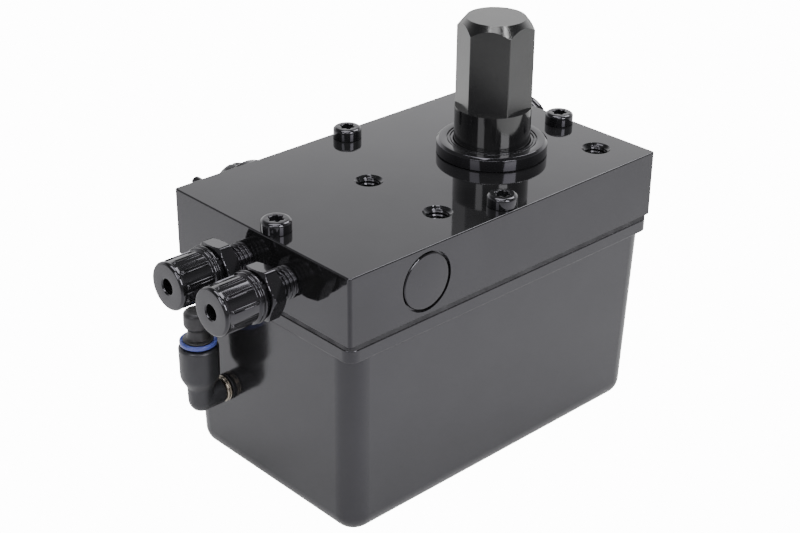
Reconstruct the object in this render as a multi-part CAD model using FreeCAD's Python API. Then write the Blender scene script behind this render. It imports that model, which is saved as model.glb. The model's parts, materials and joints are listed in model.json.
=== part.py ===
import FreeCAD, Part
import math
import os

# Hand-operated rotary actuator unit: a valve block on an oil tank, with a hexagon drive spindle.
# Frame: origin at the centre of the block's top face, +Z up, +X along the block away from the
# hose fittings, +Y towards the side with the valve knob. Millimetres.

os.makedirs("parts", exist_ok=True)

V = FreeCAD.Vector
X_AXIS = V(1, 0, 0)
Y_AXIS = V(0, 1, 0)
Z_AXIS = V(0, 0, 1)

# ---------------------------------------------------------------- driving dimensions
BLOCK_L = 184.0
BLOCK_W = 113.0
BLOCK_H = 31.0
BLOCK_TOP_ROUND = 0.6
BLOCK_BASE_EASE = 0.4
BLOCK_SIDE_ROUND = 1.5
MID_Z = -BLOCK_H / 2

GASKET_T = 1.8
GASKET_INSET = 0.4
GASKET_CORNER_R = 4.0
GASKET_BAND = 6.0
GASKET_INNER_R = 8.0

RIM_HALF_X = 91.9
RIM_HALF_Y = 56.4
RIM_H = 6.0
RIM_CORNER_R = 5.0
RIM_ROUND = 0.6
TANK_TOP_HALF_X = 90.8
TANK_TOP_HALF_Y = 55.6
TANK_BASE_HALF_X = 88.9
TANK_BASE_HALF_Y = 53.1
TANK_CORNER_R = 10.0
TANK_BASE_ROUND = 9.0
TANK_WALL = 3.5
TANK_INNER_ROUND = 5.5
TANK_TOP_Z = -BLOCK_H - GASKET_T
TANK_BASE_Z = -127.0
BOSS_R = 8.0
BOSS_DEPTH = 18.0

SCREW_R = 4.0
SCREW_HOLE_R = 4.3
SCREW_HEAD_R = 6.5
SCREW_HEAD_H = 5.3
SCREW_HEAD_TAPER = 1.1
SCREW_HEAD_TAPER_R = 1.6
SCREW_RECESS_R = 3.3
SCREW_RECESS_DEPTH = 3.2
SCREW_LEN = 47.0
SCREW_X = 85.3
SCREW_Y_OFF = -4.2
SCREW_Y = 49.0
SLEEVE_R = 4.9
SLEEVE_BORE_R = 4.05
SLEEVE_LEN = 15.0
SCREW_POINTS = (
    (-SCREW_X, SCREW_Y_OFF),
    (SCREW_X, SCREW_Y_OFF),
    (0.0, SCREW_Y),
    (0.0, -SCREW_Y),
)

TAP_R = 5.1
TAP_DEPTH_REAR = 22.0
TAP_DEPTH_FRONT = 21.0
TAP_DEPTH_SIDE = 20.0
TAP_CHAMFER_REAR = 1.25
TAP_CHAMFER_FRONT = 1.4
TAP_CHAMFER_SIDE = 1.55
TAP_X0 = -25.0
TAP_Y0 = 6.5
TAP_PITCH_X = 100.0
TAP_PITCH_Y = 42.5
TAP_POINTS = (
    (TAP_X0, TAP_Y0, TAP_DEPTH_REAR, TAP_CHAMFER_REAR),
    (TAP_X0, TAP_Y0 - TAP_PITCH_Y, TAP_DEPTH_FRONT, TAP_CHAMFER_FRONT),
    (TAP_X0 + TAP_PITCH_X, TAP_Y0 - TAP_PITCH_Y, TAP_DEPTH_SIDE, TAP_CHAMFER_SIDE),
)

SPINDLE_X = 38.0
SPINDLE_Y = -6.0
SHAFT_R = 17.2
HEX_AF = 30.0
HEX_CORNER_R = 17.2
HEX_ANGLE = 5.0
HEX_BASE_Z = 22.3
HEX_TOP_Z = 63.0
HEX_TOP_FLAT_R = 13.2
HEX_CHAMFER_H = 5.0
HEX_EDGE_R = 0.6
SHAFT_END_Z = -9.0
SEAT_R = 12.0
SEAT_END_Z = -21.6
JOURNAL_R = 9.0
JOURNAL_END_Z = -30.3
RUN_GAP = 0.03

GLAND_R = 25.0
GLAND_H = 6.4
GLAND_CHAMFER = 0.9
GLAND_MOUTH_R = 20.0
GLAND_SLEEVE_R = 20.9
GLAND_SLEEVE_DEPTH = 9.5
BUSH_OUT_R = 19.3
BUSH_TOP_Z = -1.0
SEAL_BASE_Z = -0.8
SEAL_TOP_Z = 2.8
WIPER_BASE_Z = 3.0
WIPER_TOP_Z = 5.4
WIPER_STEP = 0.9

POCKET_R = 35.5
POCKET_TOP_Z = -10.4
COVER_R = 38.3
COVER_TOP_Z = -26.5
COVER_BASE_Z = -29.4
COVER_HUB_R = 15.0
COVER_HUB_TOP_Z = -22.6
LOWER_BUSH_R = 12.0
COVER_RING_T = 1.2
COVER_RING_OUT_R = 39.6
COVER_RING_IN_R = 36.4
WASHER_IN_R = 17.5
WASHER_OUT_R = 24.0
WASHER_T = 0.6

MODULE = 2.0
GEAR_TEETH = 32
PRESSURE_ANGLE = 20.0
PITCH_R = MODULE * GEAR_TEETH / 2
ADDENDUM = MODULE
DEDENDUM = 1.25 * MODULE
BACKLASH = 0.24
GEAR_TOP_Z = -11.2
GEAR_BASE_Z = -19.8
SECTOR_SIDE_TEETH = 3
SECTOR_MARGIN = 5.0
GEAR_HUB_R = 18.0
FLANK_STEPS = 6
CLIP_T = 1.1
CLIP_GROOVE_R = 10.8
CLIP_OUT_R = 14.2
CLIP_GAP_W = 5.0
KEY_W = 5.0
KEY_IN_R = 9.8
KEY_OUT_R = 14.3

CYL_Y = 33.5
CYL_R = 10.0
CYL_START_X = -8.1
CYL_END_X = 84.1
PISTON_R = 9.95
PISTON_LEN = 66.0
PISTON_HEAD = 7.5
RING_W = 2.6
RING_GROOVE_R = 8.0
RING_OFFSET = 2.4

CAP_PLUG_R = 12.0
CAP_NECK_R = 10.2
CAP_HEAD_R = 12.5
CAP_END_X = 108.3
CAP_HEAD_X = 95.2
CAP_ROUND = 2.0
CAP_GROOVES = 3
CAP_GROOVE_PITCH = 2.6
CAP_GROOVE_W = 1.1
CAP_GROOVE_DEPTH = 0.7
CAP_WASHER_R = 13.4
CAP_WASHER_T = 1.6
CAP_KEY_AF = 8.0
CAP_KEY_DEPTH = 5.0

VALVE_X = -50.5
VALVE_R = 9.0
SPOOL_R = 8.97
SPOOL_START_Y = -49.0
SPOOL_END_Y = 48.0
SPOOL_GROOVE_R = 6.6
SPOOL_GROOVE_W = 9.0
SPOOL_RING_W = 2.4
STEM_R = 5.0
STEM_END_Y = 71.5
PLUG_R = 12.45
PLUG_SEAT_R = 12.5
PLUG_T = 5.5
PLUG_GROOVE_R = 13.4
PLUG_GROOVE_DEPTH = 1.6
FLANGE_R = 15.0
FLANGE_T = 4.6
FLANGE_SPIGOT = 7.0
KNOB_R = 11.0
KNOB_START_Y = 61.8
KNOB_END_Y = 73.0
KNOB_LUG_W = 7.0
KNOB_LUG_REACH = 15.0
KNOB_LUG_T = 6.0

BLEED_X = -69.5
BLEED_Z = -9.0
BLEED_R = 2.5
BLEED_START_Y = 44.0
BLEED_END_Y = 71.8
BLEED_NUT_AF = 8.0
BLEED_NUT_T = 4.0
BLEED_SLOT_W = 1.2
BLEED_SLOT_DEPTH = 1.8

PORT_YS = {"rear": 9.75, "front": -18.75}
FIT_THREAD_R = 7.0
FIT_THREAD_GAP = 0.05
FIT_THREAD_DEPTH = 10.0
FIT_HEX_AF = 21.4
FIT_HEX_TRIM_R = 12.1
FIT_HEX_ANGLE = 115.6
FIT_HEX_START_X = -101.3
FIT_HEX_END_X = -108.4
FIT_HEX_CHAMFER = 1.0
FIT_HEX_FACE_R = 10.4
FIT_NECK_R = 8.8
FIT_NECK_END_X = -110.0
FIT_SPIGOT_R = 7.5
FIT_SPIGOT_END_X = -121.5
FIT_BORE_R = 2.2
TUBE_SEAT_R = 3.25
TUBE_SEAT_X = -113.5
NUT_START_X = -110.3
NUT_FLANGE_R = 11.2
NUT_FLANGE_END_X = -113.6
NUT_BARREL_R = 9.6
NUT_RIB_R = 10.2
NUT_RIBS = 14
NUT_RIB_W = 2.6
NUT_RIM_X = -128.2
NUT_RIM_R = 10.45
NUT_END_X = -130.5
NUT_FACE_ROUND = 0.5
NUT_BORE_R = 7.6
NUT_BORE_END_X = -122.4
NUT_CONE_END_X = -126.0
TUBE_HOLE_R = 3.25
FERRULE_R = 4.9
FERRULE_TIP_R = 4.1
FERRULE_START_X = -121.7
FERRULE_END_X = -124.6

GALLERY_R = 3.0
VENT_R = 2.5
VENT_X = 81.0
BLEED_GALLERY_R = 1.5

CHECK_X = -20.0
CHECK_R = 5.0
CHECK_TOP_Z = -10.0
CHECK_FIT = 0.03
SEAT_TOP_Z = -25.5
SEAT_T = 2.5
SEAT_HOLE_R = 2.0
BALL_R = 3.0
BALL_LIFT = 0.03
COIL_R = 2.6
COIL_WIRE_R = 0.35
COIL_TURNS = 5
TUBE_COLLAR_R = 4.97
TUBE_COLLAR_END_Z = -36.0
TUBE_R = 4.0
TUBE_BORE_R = 2.8
TUBE_END_Z = -113.0
STRAINER_R = 9.0
STRAINER_TOP_Z = -107.0
STRAINER_BASE_Z = -121.0
STRAINER_WALL = 1.6
STRAINER_SLOTS = 12
STRAINER_SLOT_W = 2.0

ELBOW_Y = 28.5
ELBOW_Z = -87.3
ELBOW_X = -103.7
STUD_R = 4.0
STUD_BORE_R = 2.2
STUD_START_X = -82.5
STUD_END_X = -100.5
STUD_COLLAR_R = 6.3
STUD_COLLAR_X0 = -90.6
STUD_COLLAR_X1 = -93.4
STUD_NUT_AF = 12.0
STUD_NUT_X0 = -83.2
STUD_NUT_X1 = -86.2
PORT_SEAL_R = 6.0
PORT_SEAL_X0 = -89.85
ELBOW_ARM_R = 5.8
ELBOW_ARM_X0 = -93.7
ELBOW_LEG_R = 8.8
ELBOW_CONE_Z0 = -81.2
ELBOW_CONE_Z1 = -76.5
ELBOW_TOP_Z = -60.5
ELBOW_TOP_CHAMFER = 0.8
ELBOW_WATER_R = 2.4
SOCKET_BASE_Z = -79.5
SOCKET_R = 4.1
RING_SEAT_R = 6.2
RING_SEAT_Z0 = -76.0
COLLAR_SLEEVE_R = 5.6
COLLAR_SLEEVE_END_Z = -66.5
COLLAR_BORE_R = 4.15
COLLAR_HEAD_R = 8.2
COLLAR_HEAD_Z0 = -59.5
COLLAR_HEAD_Z1 = -57.4
COLLAR_DISH = 1.2
GRIP_Z0 = -69.0
GRIP_T = 0.6
ORING_Z0 = -75.6
ORING_T = 3.0
BLANK_R = 4.0
BLANK_BASE_Z = -79.0
BLANK_NECK_Z = -53.5
BLANK_HEAD_R = 5.9
BLANK_HEAD_Z0 = -51.0
BLANK_HEAD_Z1 = -43.6
BLANK_HEAD_ROUND = 1.4

EPS = 0.5


# ---------------------------------------------------------------- helpers
def rod(r, x, y, z0, z1):
    low = min(z0, z1)
    return Part.makeCylinder(r, abs(z1 - z0), V(x, y, low), Z_AXIS)


def rod_x(r, y, z, x0, x1):
    low = min(x0, x1)
    return Part.makeCylinder(r, abs(x1 - x0), V(low, y, z), X_AXIS)


def rod_y(r, x, z, y0, y1):
    low = min(y0, y1)
    return Part.makeCylinder(r, abs(y1 - y0), V(x, low, z), Y_AXIS)


def tube(r_out, r_in, x, y, z0, z1):
    return rod(r_out, x, y, z0, z1).cut(rod(r_in, x, y, min(z0, z1) - EPS, max(z0, z1) + EPS))


def tube_x(r_out, r_in, y, z, x0, x1):
    return rod_x(r_out, y, z, x0, x1).cut(rod_x(r_in, y, z, min(x0, x1) - EPS, max(x0, x1) + EPS))


def tube_y(r_out, r_in, x, z, y0, y1):
    return rod_y(r_out, x, z, y0, y1).cut(rod_y(r_in, x, z, min(y0, y1) - EPS, max(y0, y1) + EPS))


def cone(r0, r1, x, y, z0, z1):
    # truncated cone, radius r0 at z0 and r1 at z1, with z1 above z0
    return Part.makeCone(r0, r1, z1 - z0, V(x, y, z0), Z_AXIS)


def cone_x(r0, r1, y, z, x0, x1):
    # truncated cone along X, radius r0 at x0 and r1 at x1
    direction = X_AXIS if x1 > x0 else V(-1, 0, 0)
    return Part.makeCone(r0, r1, abs(x1 - x0), V(x0, y, z), direction)


def hex_points(af, angle):
    corner = af / math.sqrt(3)
    points = []
    for k in range(7):
        a = math.radians(angle + 60 * k)
        points.append((corner * math.cos(a), corner * math.sin(a)))
    return points


def hex_z(af, x, y, z0, z1, angle):
    wire = Part.makePolygon([V(x + u, y + v, z0) for u, v in hex_points(af, angle)])
    return Part.Face(wire).extrude(V(0, 0, z1 - z0))


def hex_x(af, y, z, x0, x1, angle):
    wire = Part.makePolygon([V(x0, y + u, z + v) for u, v in hex_points(af, angle)])
    return Part.Face(wire).extrude(V(x1 - x0, 0, 0))


def hex_y(af, x, z, y0, y1, angle):
    wire = Part.makePolygon([V(x + u, y0, z + v) for u, v in hex_points(af, angle)])
    return Part.Face(wire).extrude(V(0, y1 - y0, 0))


def round_rect(half_x, half_y, r, z):
    # closed rounded-rectangle wire centred on the frame's Z axis
    edges = []
    corners = ((1, 1, 0), (-1, 1, 90), (-1, -1, 180), (1, -1, 270))
    ends = []
    for sx, sy, start in corners:
        centre = V(sx * (half_x - r), sy * (half_y - r), z)
        pts = []
        for a in (start, start + 45, start + 90):
            ra = math.radians(a)
            pts.append(centre + V(r * math.cos(ra), r * math.sin(ra), 0))
        ends.append(pts)
    for i, pts in enumerate(ends):
        edges.append(Part.Arc(pts[0], pts[1], pts[2]).toShape())
        edges.append(Part.LineSegment(pts[2], ends[(i + 1) % len(ends)][0]).toShape())
    return Part.Wire(edges)


def plate(half_x, half_y, r, z0, z1):
    return Part.Face(round_rect(half_x, half_y, r, z0)).extrude(V(0, 0, z1 - z0))


def tapered_box(top, base, r, z_top, z_base, base_round):
    # hollow-less tank form: ruled loft between two rounded rectangles, bottom edge rounded
    wires = [round_rect(base[0], base[1], r, z_base), round_rect(top[0], top[1], r, z_top)]
    body = Part.makeLoft(wires, True, True)
    low = [e for e in body.Edges if abs(e.BoundBox.ZMax - z_base) < 1e-4]
    return body.makeFillet(base_round, low)


def top_edges(shape, z):
    return [e for e in shape.Edges if abs(e.BoundBox.ZMin - z) < 1e-4 and abs(e.BoundBox.ZMax - z) < 1e-4]


def upright_edges(shape, z0, z1):
    return [e for e in shape.Edges if abs(e.BoundBox.ZMin - z0) < 1e-4 and abs(e.BoundBox.ZMax - z1) < 1e-4]


def fuse_all(shapes):
    out = shapes[0]
    for s in shapes[1:]:
        out = out.fuse(s)
    return out.removeSplitter()


def save(name, shape):
    shape.exportStep("parts/" + name + ".step")


# ---------------------------------------------------------------- valve block and joint
def valve_block():
    body = plate(BLOCK_L / 2, BLOCK_W / 2, BLOCK_SIDE_ROUND, -BLOCK_H, 0)
    body = body.makeFillet(BLOCK_TOP_ROUND, top_edges(body, 0))
    body = body.makeChamfer(BLOCK_BASE_EASE, top_edges(body, -BLOCK_H))
    cuts = []
    for x, y in SCREW_POINTS:
        cuts.append(rod(SCREW_HOLE_R, x, y, -BLOCK_H - EPS, EPS))
    for x, y, depth, chamfer in TAP_POINTS:
        cuts.append(rod(TAP_R, x, y, -depth, EPS))
        cuts.append(cone(TAP_R, TAP_R + chamfer + EPS, x, y, -chamfer, EPS))
    # gear pocket from below, gland bore from above
    cuts.append(rod(GLAND_SLEEVE_R + RUN_GAP, SPINDLE_X, SPINDLE_Y, POCKET_TOP_Z - EPS, EPS))
    cuts.append(rod(POCKET_R, SPINDLE_X, SPINDLE_Y, -BLOCK_H - EPS, POCKET_TOP_Z))
    cuts.append(rod(COVER_R + RUN_GAP, SPINDLE_X, SPINDLE_Y, -BLOCK_H - EPS, COVER_TOP_Z))
    ring_z1 = COVER_BASE_Z
    ring_z0 = COVER_BASE_Z - COVER_RING_T
    cuts.append(rod(COVER_RING_OUT_R + RUN_GAP, SPINDLE_X, SPINDLE_Y, ring_z0, ring_z1))
    # piston bore, cap seat and vent to the tank
    half = BLOCK_L / 2
    cuts.append(rod_x(CYL_R, CYL_Y, MID_Z, CYL_START_X, half + EPS))
    cuts.append(rod_x(CAP_PLUG_R + RUN_GAP, CYL_Y, MID_Z, CYL_END_X, half + EPS))
    cuts.append(rod(VENT_R, VENT_X, CYL_Y, -BLOCK_H - EPS, MID_Z))
    cuts.append(rod_x(GALLERY_R, CYL_Y, MID_Z, VALVE_X, CYL_START_X + EPS))
    cuts.append(rod(CHECK_R, CHECK_X, CYL_Y, -BLOCK_H - EPS, CHECK_TOP_Z))
    # valve bore across the block, plug seat at the front
    half_y = BLOCK_W / 2
    cuts.append(rod_y(VALVE_R, VALVE_X, MID_Z, -half_y - EPS, half_y + EPS))
    cuts.append(rod_y(PLUG_SEAT_R, VALVE_X, MID_Z, -half_y - EPS, -half_y + PLUG_T))
    cuts.append(rod_y(PLUG_GROOVE_R, VALVE_X, MID_Z, -half_y - EPS, -half_y + PLUG_GROOVE_DEPTH))
    # hose ports
    for y in PORT_YS.values():
        cuts.append(rod_x(FIT_THREAD_R + FIT_THREAD_GAP, y, MID_Z, -half - EPS, -half + FIT_THREAD_DEPTH + EPS))
        cuts.append(rod_x(GALLERY_R, y, MID_Z, -half, VALVE_X))
    # bleed bore
    cuts.append(rod_y(BLEED_R + FIT_THREAD_GAP, BLEED_X, BLEED_Z, BLEED_START_Y - EPS, half_y + EPS))
    cuts.append(rod_x(BLEED_GALLERY_R, BLEED_START_Y, BLEED_Z, BLEED_X, VALVE_X))
    for c in cuts:
        body = body.cut(c)
    return body


def tank_gasket():
    half_x = BLOCK_L / 2 - GASKET_INSET
    half_y = BLOCK_W / 2 - GASKET_INSET
    z0 = TANK_TOP_Z
    z1 = -BLOCK_H
    sheet = plate(half_x, half_y, GASKET_CORNER_R, z0, z1)
    window = plate(half_x - GASKET_BAND, half_y - GASKET_BAND, GASKET_INNER_R, z0 - EPS, z1 + EPS)
    frame = sheet.cut(window)
    for x, y in SCREW_POINTS:
        frame = frame.fuse(rod(BOSS_R + EPS, x, y, z0, z1).common(sheet))
    for x, y in SCREW_POINTS:
        frame = frame.cut(rod(SCREW_HOLE_R, x, y, z0 - EPS, z1 + EPS))
    return frame.removeSplitter()


def tank():
    rim = plate(RIM_HALF_X, RIM_HALF_Y, RIM_CORNER_R, TANK_TOP_Z - RIM_H, TANK_TOP_Z)
    rim = rim.makeFillet(RIM_ROUND, top_edges(rim, TANK_TOP_Z - RIM_H) + top_edges(rim, TANK_TOP_Z))
    top = (TANK_TOP_HALF_X, TANK_TOP_HALF_Y)
    base = (TANK_BASE_HALF_X, TANK_BASE_HALF_Y)
    shell_z = TANK_TOP_Z - RIM_H / 2
    shell = tapered_box(top, base, TANK_CORNER_R, shell_z, TANK_BASE_Z, TANK_BASE_ROUND)
    outer = rim.fuse(shell)
    top_in = (TANK_TOP_HALF_X - TANK_WALL, TANK_TOP_HALF_Y - TANK_WALL)
    base_in = (TANK_BASE_HALF_X - TANK_WALL, TANK_BASE_HALF_Y - TANK_WALL)
    r_in = TANK_CORNER_R - TANK_WALL + EPS
    floor_z = TANK_BASE_Z + TANK_WALL
    hollow = tapered_box(top_in, base_in, r_in, TANK_TOP_Z + EPS, floor_z, TANK_INNER_ROUND)
    body = outer.cut(hollow)
    for x, y in SCREW_POINTS:
        boss = rod(BOSS_R, x, y, TANK_TOP_Z - BOSS_DEPTH, TANK_TOP_Z)
        body = body.fuse(boss.common(outer))
    for x, y in SCREW_POINTS:
        body = body.cut(rod(SLEEVE_R, x, y, TANK_TOP_Z - SLEEVE_LEN - EPS, TANK_TOP_Z + EPS))
    body = body.cut(rod_x(STUD_R + RUN_GAP, ELBOW_Y, ELBOW_Z, -BLOCK_L / 2, STUD_NUT_X0))
    return body.removeSplitter()


def tank_sleeves():
    parts = []
    for x, y in SCREW_POINTS:
        parts.append(tube(SLEEVE_R, SLEEVE_BORE_R, x, y, TANK_TOP_Z - SLEEVE_LEN, TANK_TOP_Z))
    return Part.makeCompound(parts)


def tank_screws():
    parts = []
    for x, y in SCREW_POINTS:
        head = rod(SCREW_HEAD_R, x, y, 0, SCREW_HEAD_H - SCREW_HEAD_TAPER)
        taper_z = SCREW_HEAD_H - SCREW_HEAD_TAPER
        head = head.fuse(cone(SCREW_HEAD_R, SCREW_HEAD_R - SCREW_HEAD_TAPER_R, x, y, taper_z, SCREW_HEAD_H))
        head = head.cut(rod(SCREW_RECESS_R, x, y, SCREW_HEAD_H - SCREW_RECESS_DEPTH, SCREW_HEAD_H + EPS))
        parts.append(head.fuse(rod(SCREW_R, x, y, -SCREW_LEN, 0)).removeSplitter())
    return Part.makeCompound(parts)


# ---------------------------------------------------------------- spindle, gland and bearings
def spindle():
    x = SPINDLE_X
    y = SPINDLE_Y
    head = hex_z(HEX_AF, x, y, HEX_BASE_Z, HEX_TOP_Z, HEX_ANGLE)
    head = head.makeFillet(HEX_EDGE_R, upright_edges(head, HEX_BASE_Z, HEX_TOP_Z))
    envelope = rod(HEX_CORNER_R, x, y, HEX_BASE_Z, HEX_TOP_Z - HEX_CHAMFER_H)
    envelope = envelope.fuse(cone(HEX_CORNER_R, HEX_TOP_FLAT_R, x, y, HEX_TOP_Z - HEX_CHAMFER_H, HEX_TOP_Z))
    head = head.common(envelope)
    shaft = rod(SHAFT_R, x, y, SHAFT_END_Z, HEX_BASE_Z)
    seat = rod(SEAT_R, x, y, SEAT_END_Z, SHAFT_END_Z)
    journal = rod(JOURNAL_R, x, y, JOURNAL_END_Z, SEAT_END_Z)
    body = fuse_all([head, shaft, seat, journal])
    body = body.cut(tube(SEAT_R + EPS, CLIP_GROOVE_R, x, y, GEAR_BASE_Z - CLIP_T, GEAR_BASE_Z))
    return body.cut(key_box(0))


def key_box(grow):
    return Part.makeBox(
        KEY_OUT_R - KEY_IN_R + 2 * grow,
        KEY_W + 2 * grow,
        GEAR_TOP_Z - GEAR_BASE_Z,
        V(SPINDLE_X + KEY_IN_R - grow, SPINDLE_Y - KEY_W / 2 - grow, GEAR_BASE_Z),
    )


def gland_ring():
    x = SPINDLE_X
    y = SPINDLE_Y
    flange = rod(GLAND_R, x, y, 0, GLAND_H)
    flange = flange.makeChamfer(GLAND_CHAMFER, top_edges(flange, GLAND_H))
    body = flange.fuse(rod(GLAND_SLEEVE_R, x, y, -GLAND_SLEEVE_DEPTH, 0))
    body = body.cut(rod(GLAND_MOUTH_R, x, y, BUSH_TOP_Z, GLAND_H + EPS))
    body = body.cut(rod(BUSH_OUT_R, x, y, -GLAND_SLEEVE_DEPTH - EPS, BUSH_TOP_Z + EPS))
    return body.removeSplitter()


def upper_bush():
    return tube(BUSH_OUT_R, SHAFT_R + RUN_GAP, SPINDLE_X, SPINDLE_Y, -GLAND_SLEEVE_DEPTH, BUSH_TOP_Z)


def shaft_seal():
    return tube(GLAND_MOUTH_R, SHAFT_R + RUN_GAP, SPINDLE_X, SPINDLE_Y, SEAL_BASE_Z, SEAL_TOP_Z)


def wiper_seal():
    x = SPINDLE_X
    y = SPINDLE_Y
    body = tube(GLAND_MOUTH_R - WIPER_STEP, SHAFT_R + RUN_GAP, x, y, WIPER_BASE_Z, WIPER_TOP_Z)
    step_z = (WIPER_BASE_Z + WIPER_TOP_Z) / 2
    ring = tube(GLAND_MOUTH_R + EPS, GLAND_MOUTH_R - 2 * WIPER_STEP, x, y, step_z, WIPER_TOP_Z + EPS)
    return body.cut(ring)


def thrust_washer():
    return tube(WASHER_OUT_R, WASHER_IN_R, SPINDLE_X, SPINDLE_Y, POCKET_TOP_Z - WASHER_T, POCKET_TOP_Z)


def involute_flank(base_r, r_from, r_to):
    # polar points (radius, roll angle) along an involute of the base circle
    points = []
    for i in range(FLANK_STEPS + 1):
        r = r_from + (r_to - r_from) * i / FLANK_STEPS
        r = max(r, base_r)
        t = math.sqrt(max(0.0, (r / base_r) ** 2 - 1))
        points.append((r, t - math.atan(t)))
    return points


def gear_sector():
    x = SPINDLE_X
    y = SPINDLE_Y
    alpha = math.radians(PRESSURE_ANGLE)
    base_r = PITCH_R * math.cos(alpha)
    tip_r = PITCH_R + ADDENDUM
    root_r = PITCH_R - DEDENDUM
    inv_pitch = math.tan(alpha) - alpha
    half_tooth = (math.pi * MODULE / 2 - BACKLASH) / (2 * PITCH_R)
    pitch_angle = 2 * math.pi / GEAR_TEETH
    flank = involute_flank(base_r, base_r, tip_r)
    outline = []
    for k in range(-SECTOR_SIDE_TEETH, SECTOR_SIDE_TEETH + 1):
        centre = math.pi / 2 - k * pitch_angle
        rise = [(root_r, flank[0][1])] + flank
        for r, roll in rise:
            outline.append((r, centre + half_tooth + inv_pitch - roll))
        for r, roll in reversed(rise):
            outline.append((r, centre - half_tooth - inv_pitch + roll))
    edge = math.radians(SECTOR_MARGIN)
    reach = SECTOR_SIDE_TEETH * pitch_angle + edge
    outline.append((root_r, math.pi / 2 - reach))
    outline.append((SEAT_R / 2, math.pi / 2 - reach))
    outline.append((SEAT_R / 2, math.pi / 2 + reach))
    outline.append((root_r, math.pi / 2 + reach))
    pts = [V(x + r * math.cos(a), y + r * math.sin(a), GEAR_BASE_Z) for r, a in outline]
    pts.append(pts[0])
    blade = Part.Face(Part.makePolygon(pts)).extrude(V(0, 0, GEAR_TOP_Z - GEAR_BASE_Z))
    body = blade.fuse(rod(GEAR_HUB_R, x, y, GEAR_BASE_Z, GEAR_TOP_Z))
    body = body.cut(rod(SEAT_R, x, y, GEAR_BASE_Z - EPS, GEAR_TOP_Z + EPS))
    return body.cut(key_box(0)).removeSplitter()


def retaining_clip():
    ring = tube(CLIP_OUT_R, CLIP_GROOVE_R, SPINDLE_X, SPINDLE_Y, GEAR_BASE_Z - CLIP_T, GEAR_BASE_Z)
    gap = Part.makeBox(
        CLIP_GAP_W, 2 * CLIP_OUT_R, 2 * CLIP_T,
        V(SPINDLE_X - CLIP_GAP_W / 2, SPINDLE_Y - 2 * CLIP_OUT_R, GEAR_BASE_Z - 1.5 * CLIP_T),
    )
    return ring.cut(gap)


def gear_cover():
    x = SPINDLE_X
    y = SPINDLE_Y
    body = rod(COVER_R, x, y, COVER_BASE_Z, COVER_TOP_Z).fuse(rod(COVER_HUB_R, x, y, COVER_BASE_Z, COVER_HUB_TOP_Z))
    return body.cut(rod(LOWER_BUSH_R, x, y, COVER_BASE_Z - EPS, COVER_HUB_TOP_Z + EPS)).removeSplitter()


def lower_bush():
    return tube(LOWER_BUSH_R, JOURNAL_R + RUN_GAP, SPINDLE_X, SPINDLE_Y, COVER_BASE_Z, COVER_HUB_TOP_Z)


def cover_ring():
    z1 = COVER_BASE_Z
    return tube(COVER_RING_OUT_R, COVER_RING_IN_R, SPINDLE_X, SPINDLE_Y, z1 - COVER_RING_T, z1)


# ---------------------------------------------------------------- rack piston and its cap
def rack_piston():
    x0 = SPINDLE_X - PISTON_LEN / 2
    x1 = SPINDLE_X + PISTON_LEN / 2
    body = rod_x(PISTON_R, CYL_Y, MID_Z, x0, x1)
    pitch = math.pi * MODULE
    slope = math.tan(math.radians(PRESSURE_ANGLE))
    pitch_y = SPINDLE_Y + PITCH_R
    tip_y = pitch_y - ADDENDUM
    root_y = pitch_y + DEDENDUM
    low_z = MID_Z - CYL_R
    flat_len = PISTON_LEN - 2 * PISTON_HEAD
    body = body.cut(Part.makeBox(flat_len, CYL_R, 2 * CYL_R, V(x0 + PISTON_HEAD, tip_y - CYL_R, low_z)))
    half_space = pitch / 4
    count = int((flat_len / 2 - half_space) // pitch)
    for k in range(-count, count + 1):
        cx = SPINDLE_X + k * pitch
        wide = half_space + (ADDENDUM + EPS) * slope
        narrow = half_space - DEDENDUM * slope
        corners = [(-wide, tip_y - EPS), (-narrow, root_y), (narrow, root_y), (wide, tip_y - EPS)]
        pts = [V(cx + u, v, low_z) for u, v in corners]
        pts.append(pts[0])
        body = body.cut(Part.Face(Part.makePolygon(pts)).extrude(V(0, 0, 2 * CYL_R)))
    for ring_x in (x0 + RING_OFFSET, x1 - RING_OFFSET - RING_W):
        body = body.cut(tube_x(CYL_R, RING_GROOVE_R, CYL_Y, MID_Z, ring_x, ring_x + RING_W))
    return body


def piston_rings():
    x0 = SPINDLE_X - PISTON_LEN / 2 + RING_OFFSET
    x1 = SPINDLE_X + PISTON_LEN / 2 - RING_OFFSET - RING_W
    rings = [tube_x(CYL_R - RUN_GAP, RING_GROOVE_R, CYL_Y, MID_Z, x, x + RING_W) for x in (x0, x1)]
    return Part.makeCompound(rings)


def cylinder_cap():
    half = BLOCK_L / 2
    plug = rod_x(CAP_PLUG_R, CYL_Y, MID_Z, CYL_END_X, half)
    neck = rod_x(CAP_NECK_R, CYL_Y, MID_Z, half, CAP_HEAD_X)
    head = rod_x(CAP_HEAD_R, CYL_Y, MID_Z, CAP_HEAD_X, CAP_END_X)
    far = [e for e in head.Edges if abs(e.BoundBox.XMin - CAP_END_X) < 1e-4]
    head = head.makeFillet(CAP_ROUND, far)
    body = fuse_all([plug, neck, head])
    for k in range(CAP_GROOVES):
        x = CAP_HEAD_X + (k + 1) * CAP_GROOVE_PITCH
        inner = CAP_HEAD_R - CAP_GROOVE_DEPTH
        body = body.cut(tube_x(CAP_HEAD_R + EPS, inner, CYL_Y, MID_Z, x, x + CAP_GROOVE_W))
    return body.cut(hex_x(CAP_KEY_AF, CYL_Y, MID_Z, CAP_END_X - CAP_KEY_DEPTH, CAP_END_X + EPS, 0))


def cap_washer():
    half = BLOCK_L / 2
    return tube_x(CAP_WASHER_R, CAP_NECK_R, CYL_Y, MID_Z, half, half + CAP_WASHER_T)


# ---------------------------------------------------------------- control valve
def spool_ring_ys():
    return (SPOOL_START_Y + 3 * SPOOL_RING_W, SPOOL_END_Y - 4 * SPOOL_RING_W)


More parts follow.
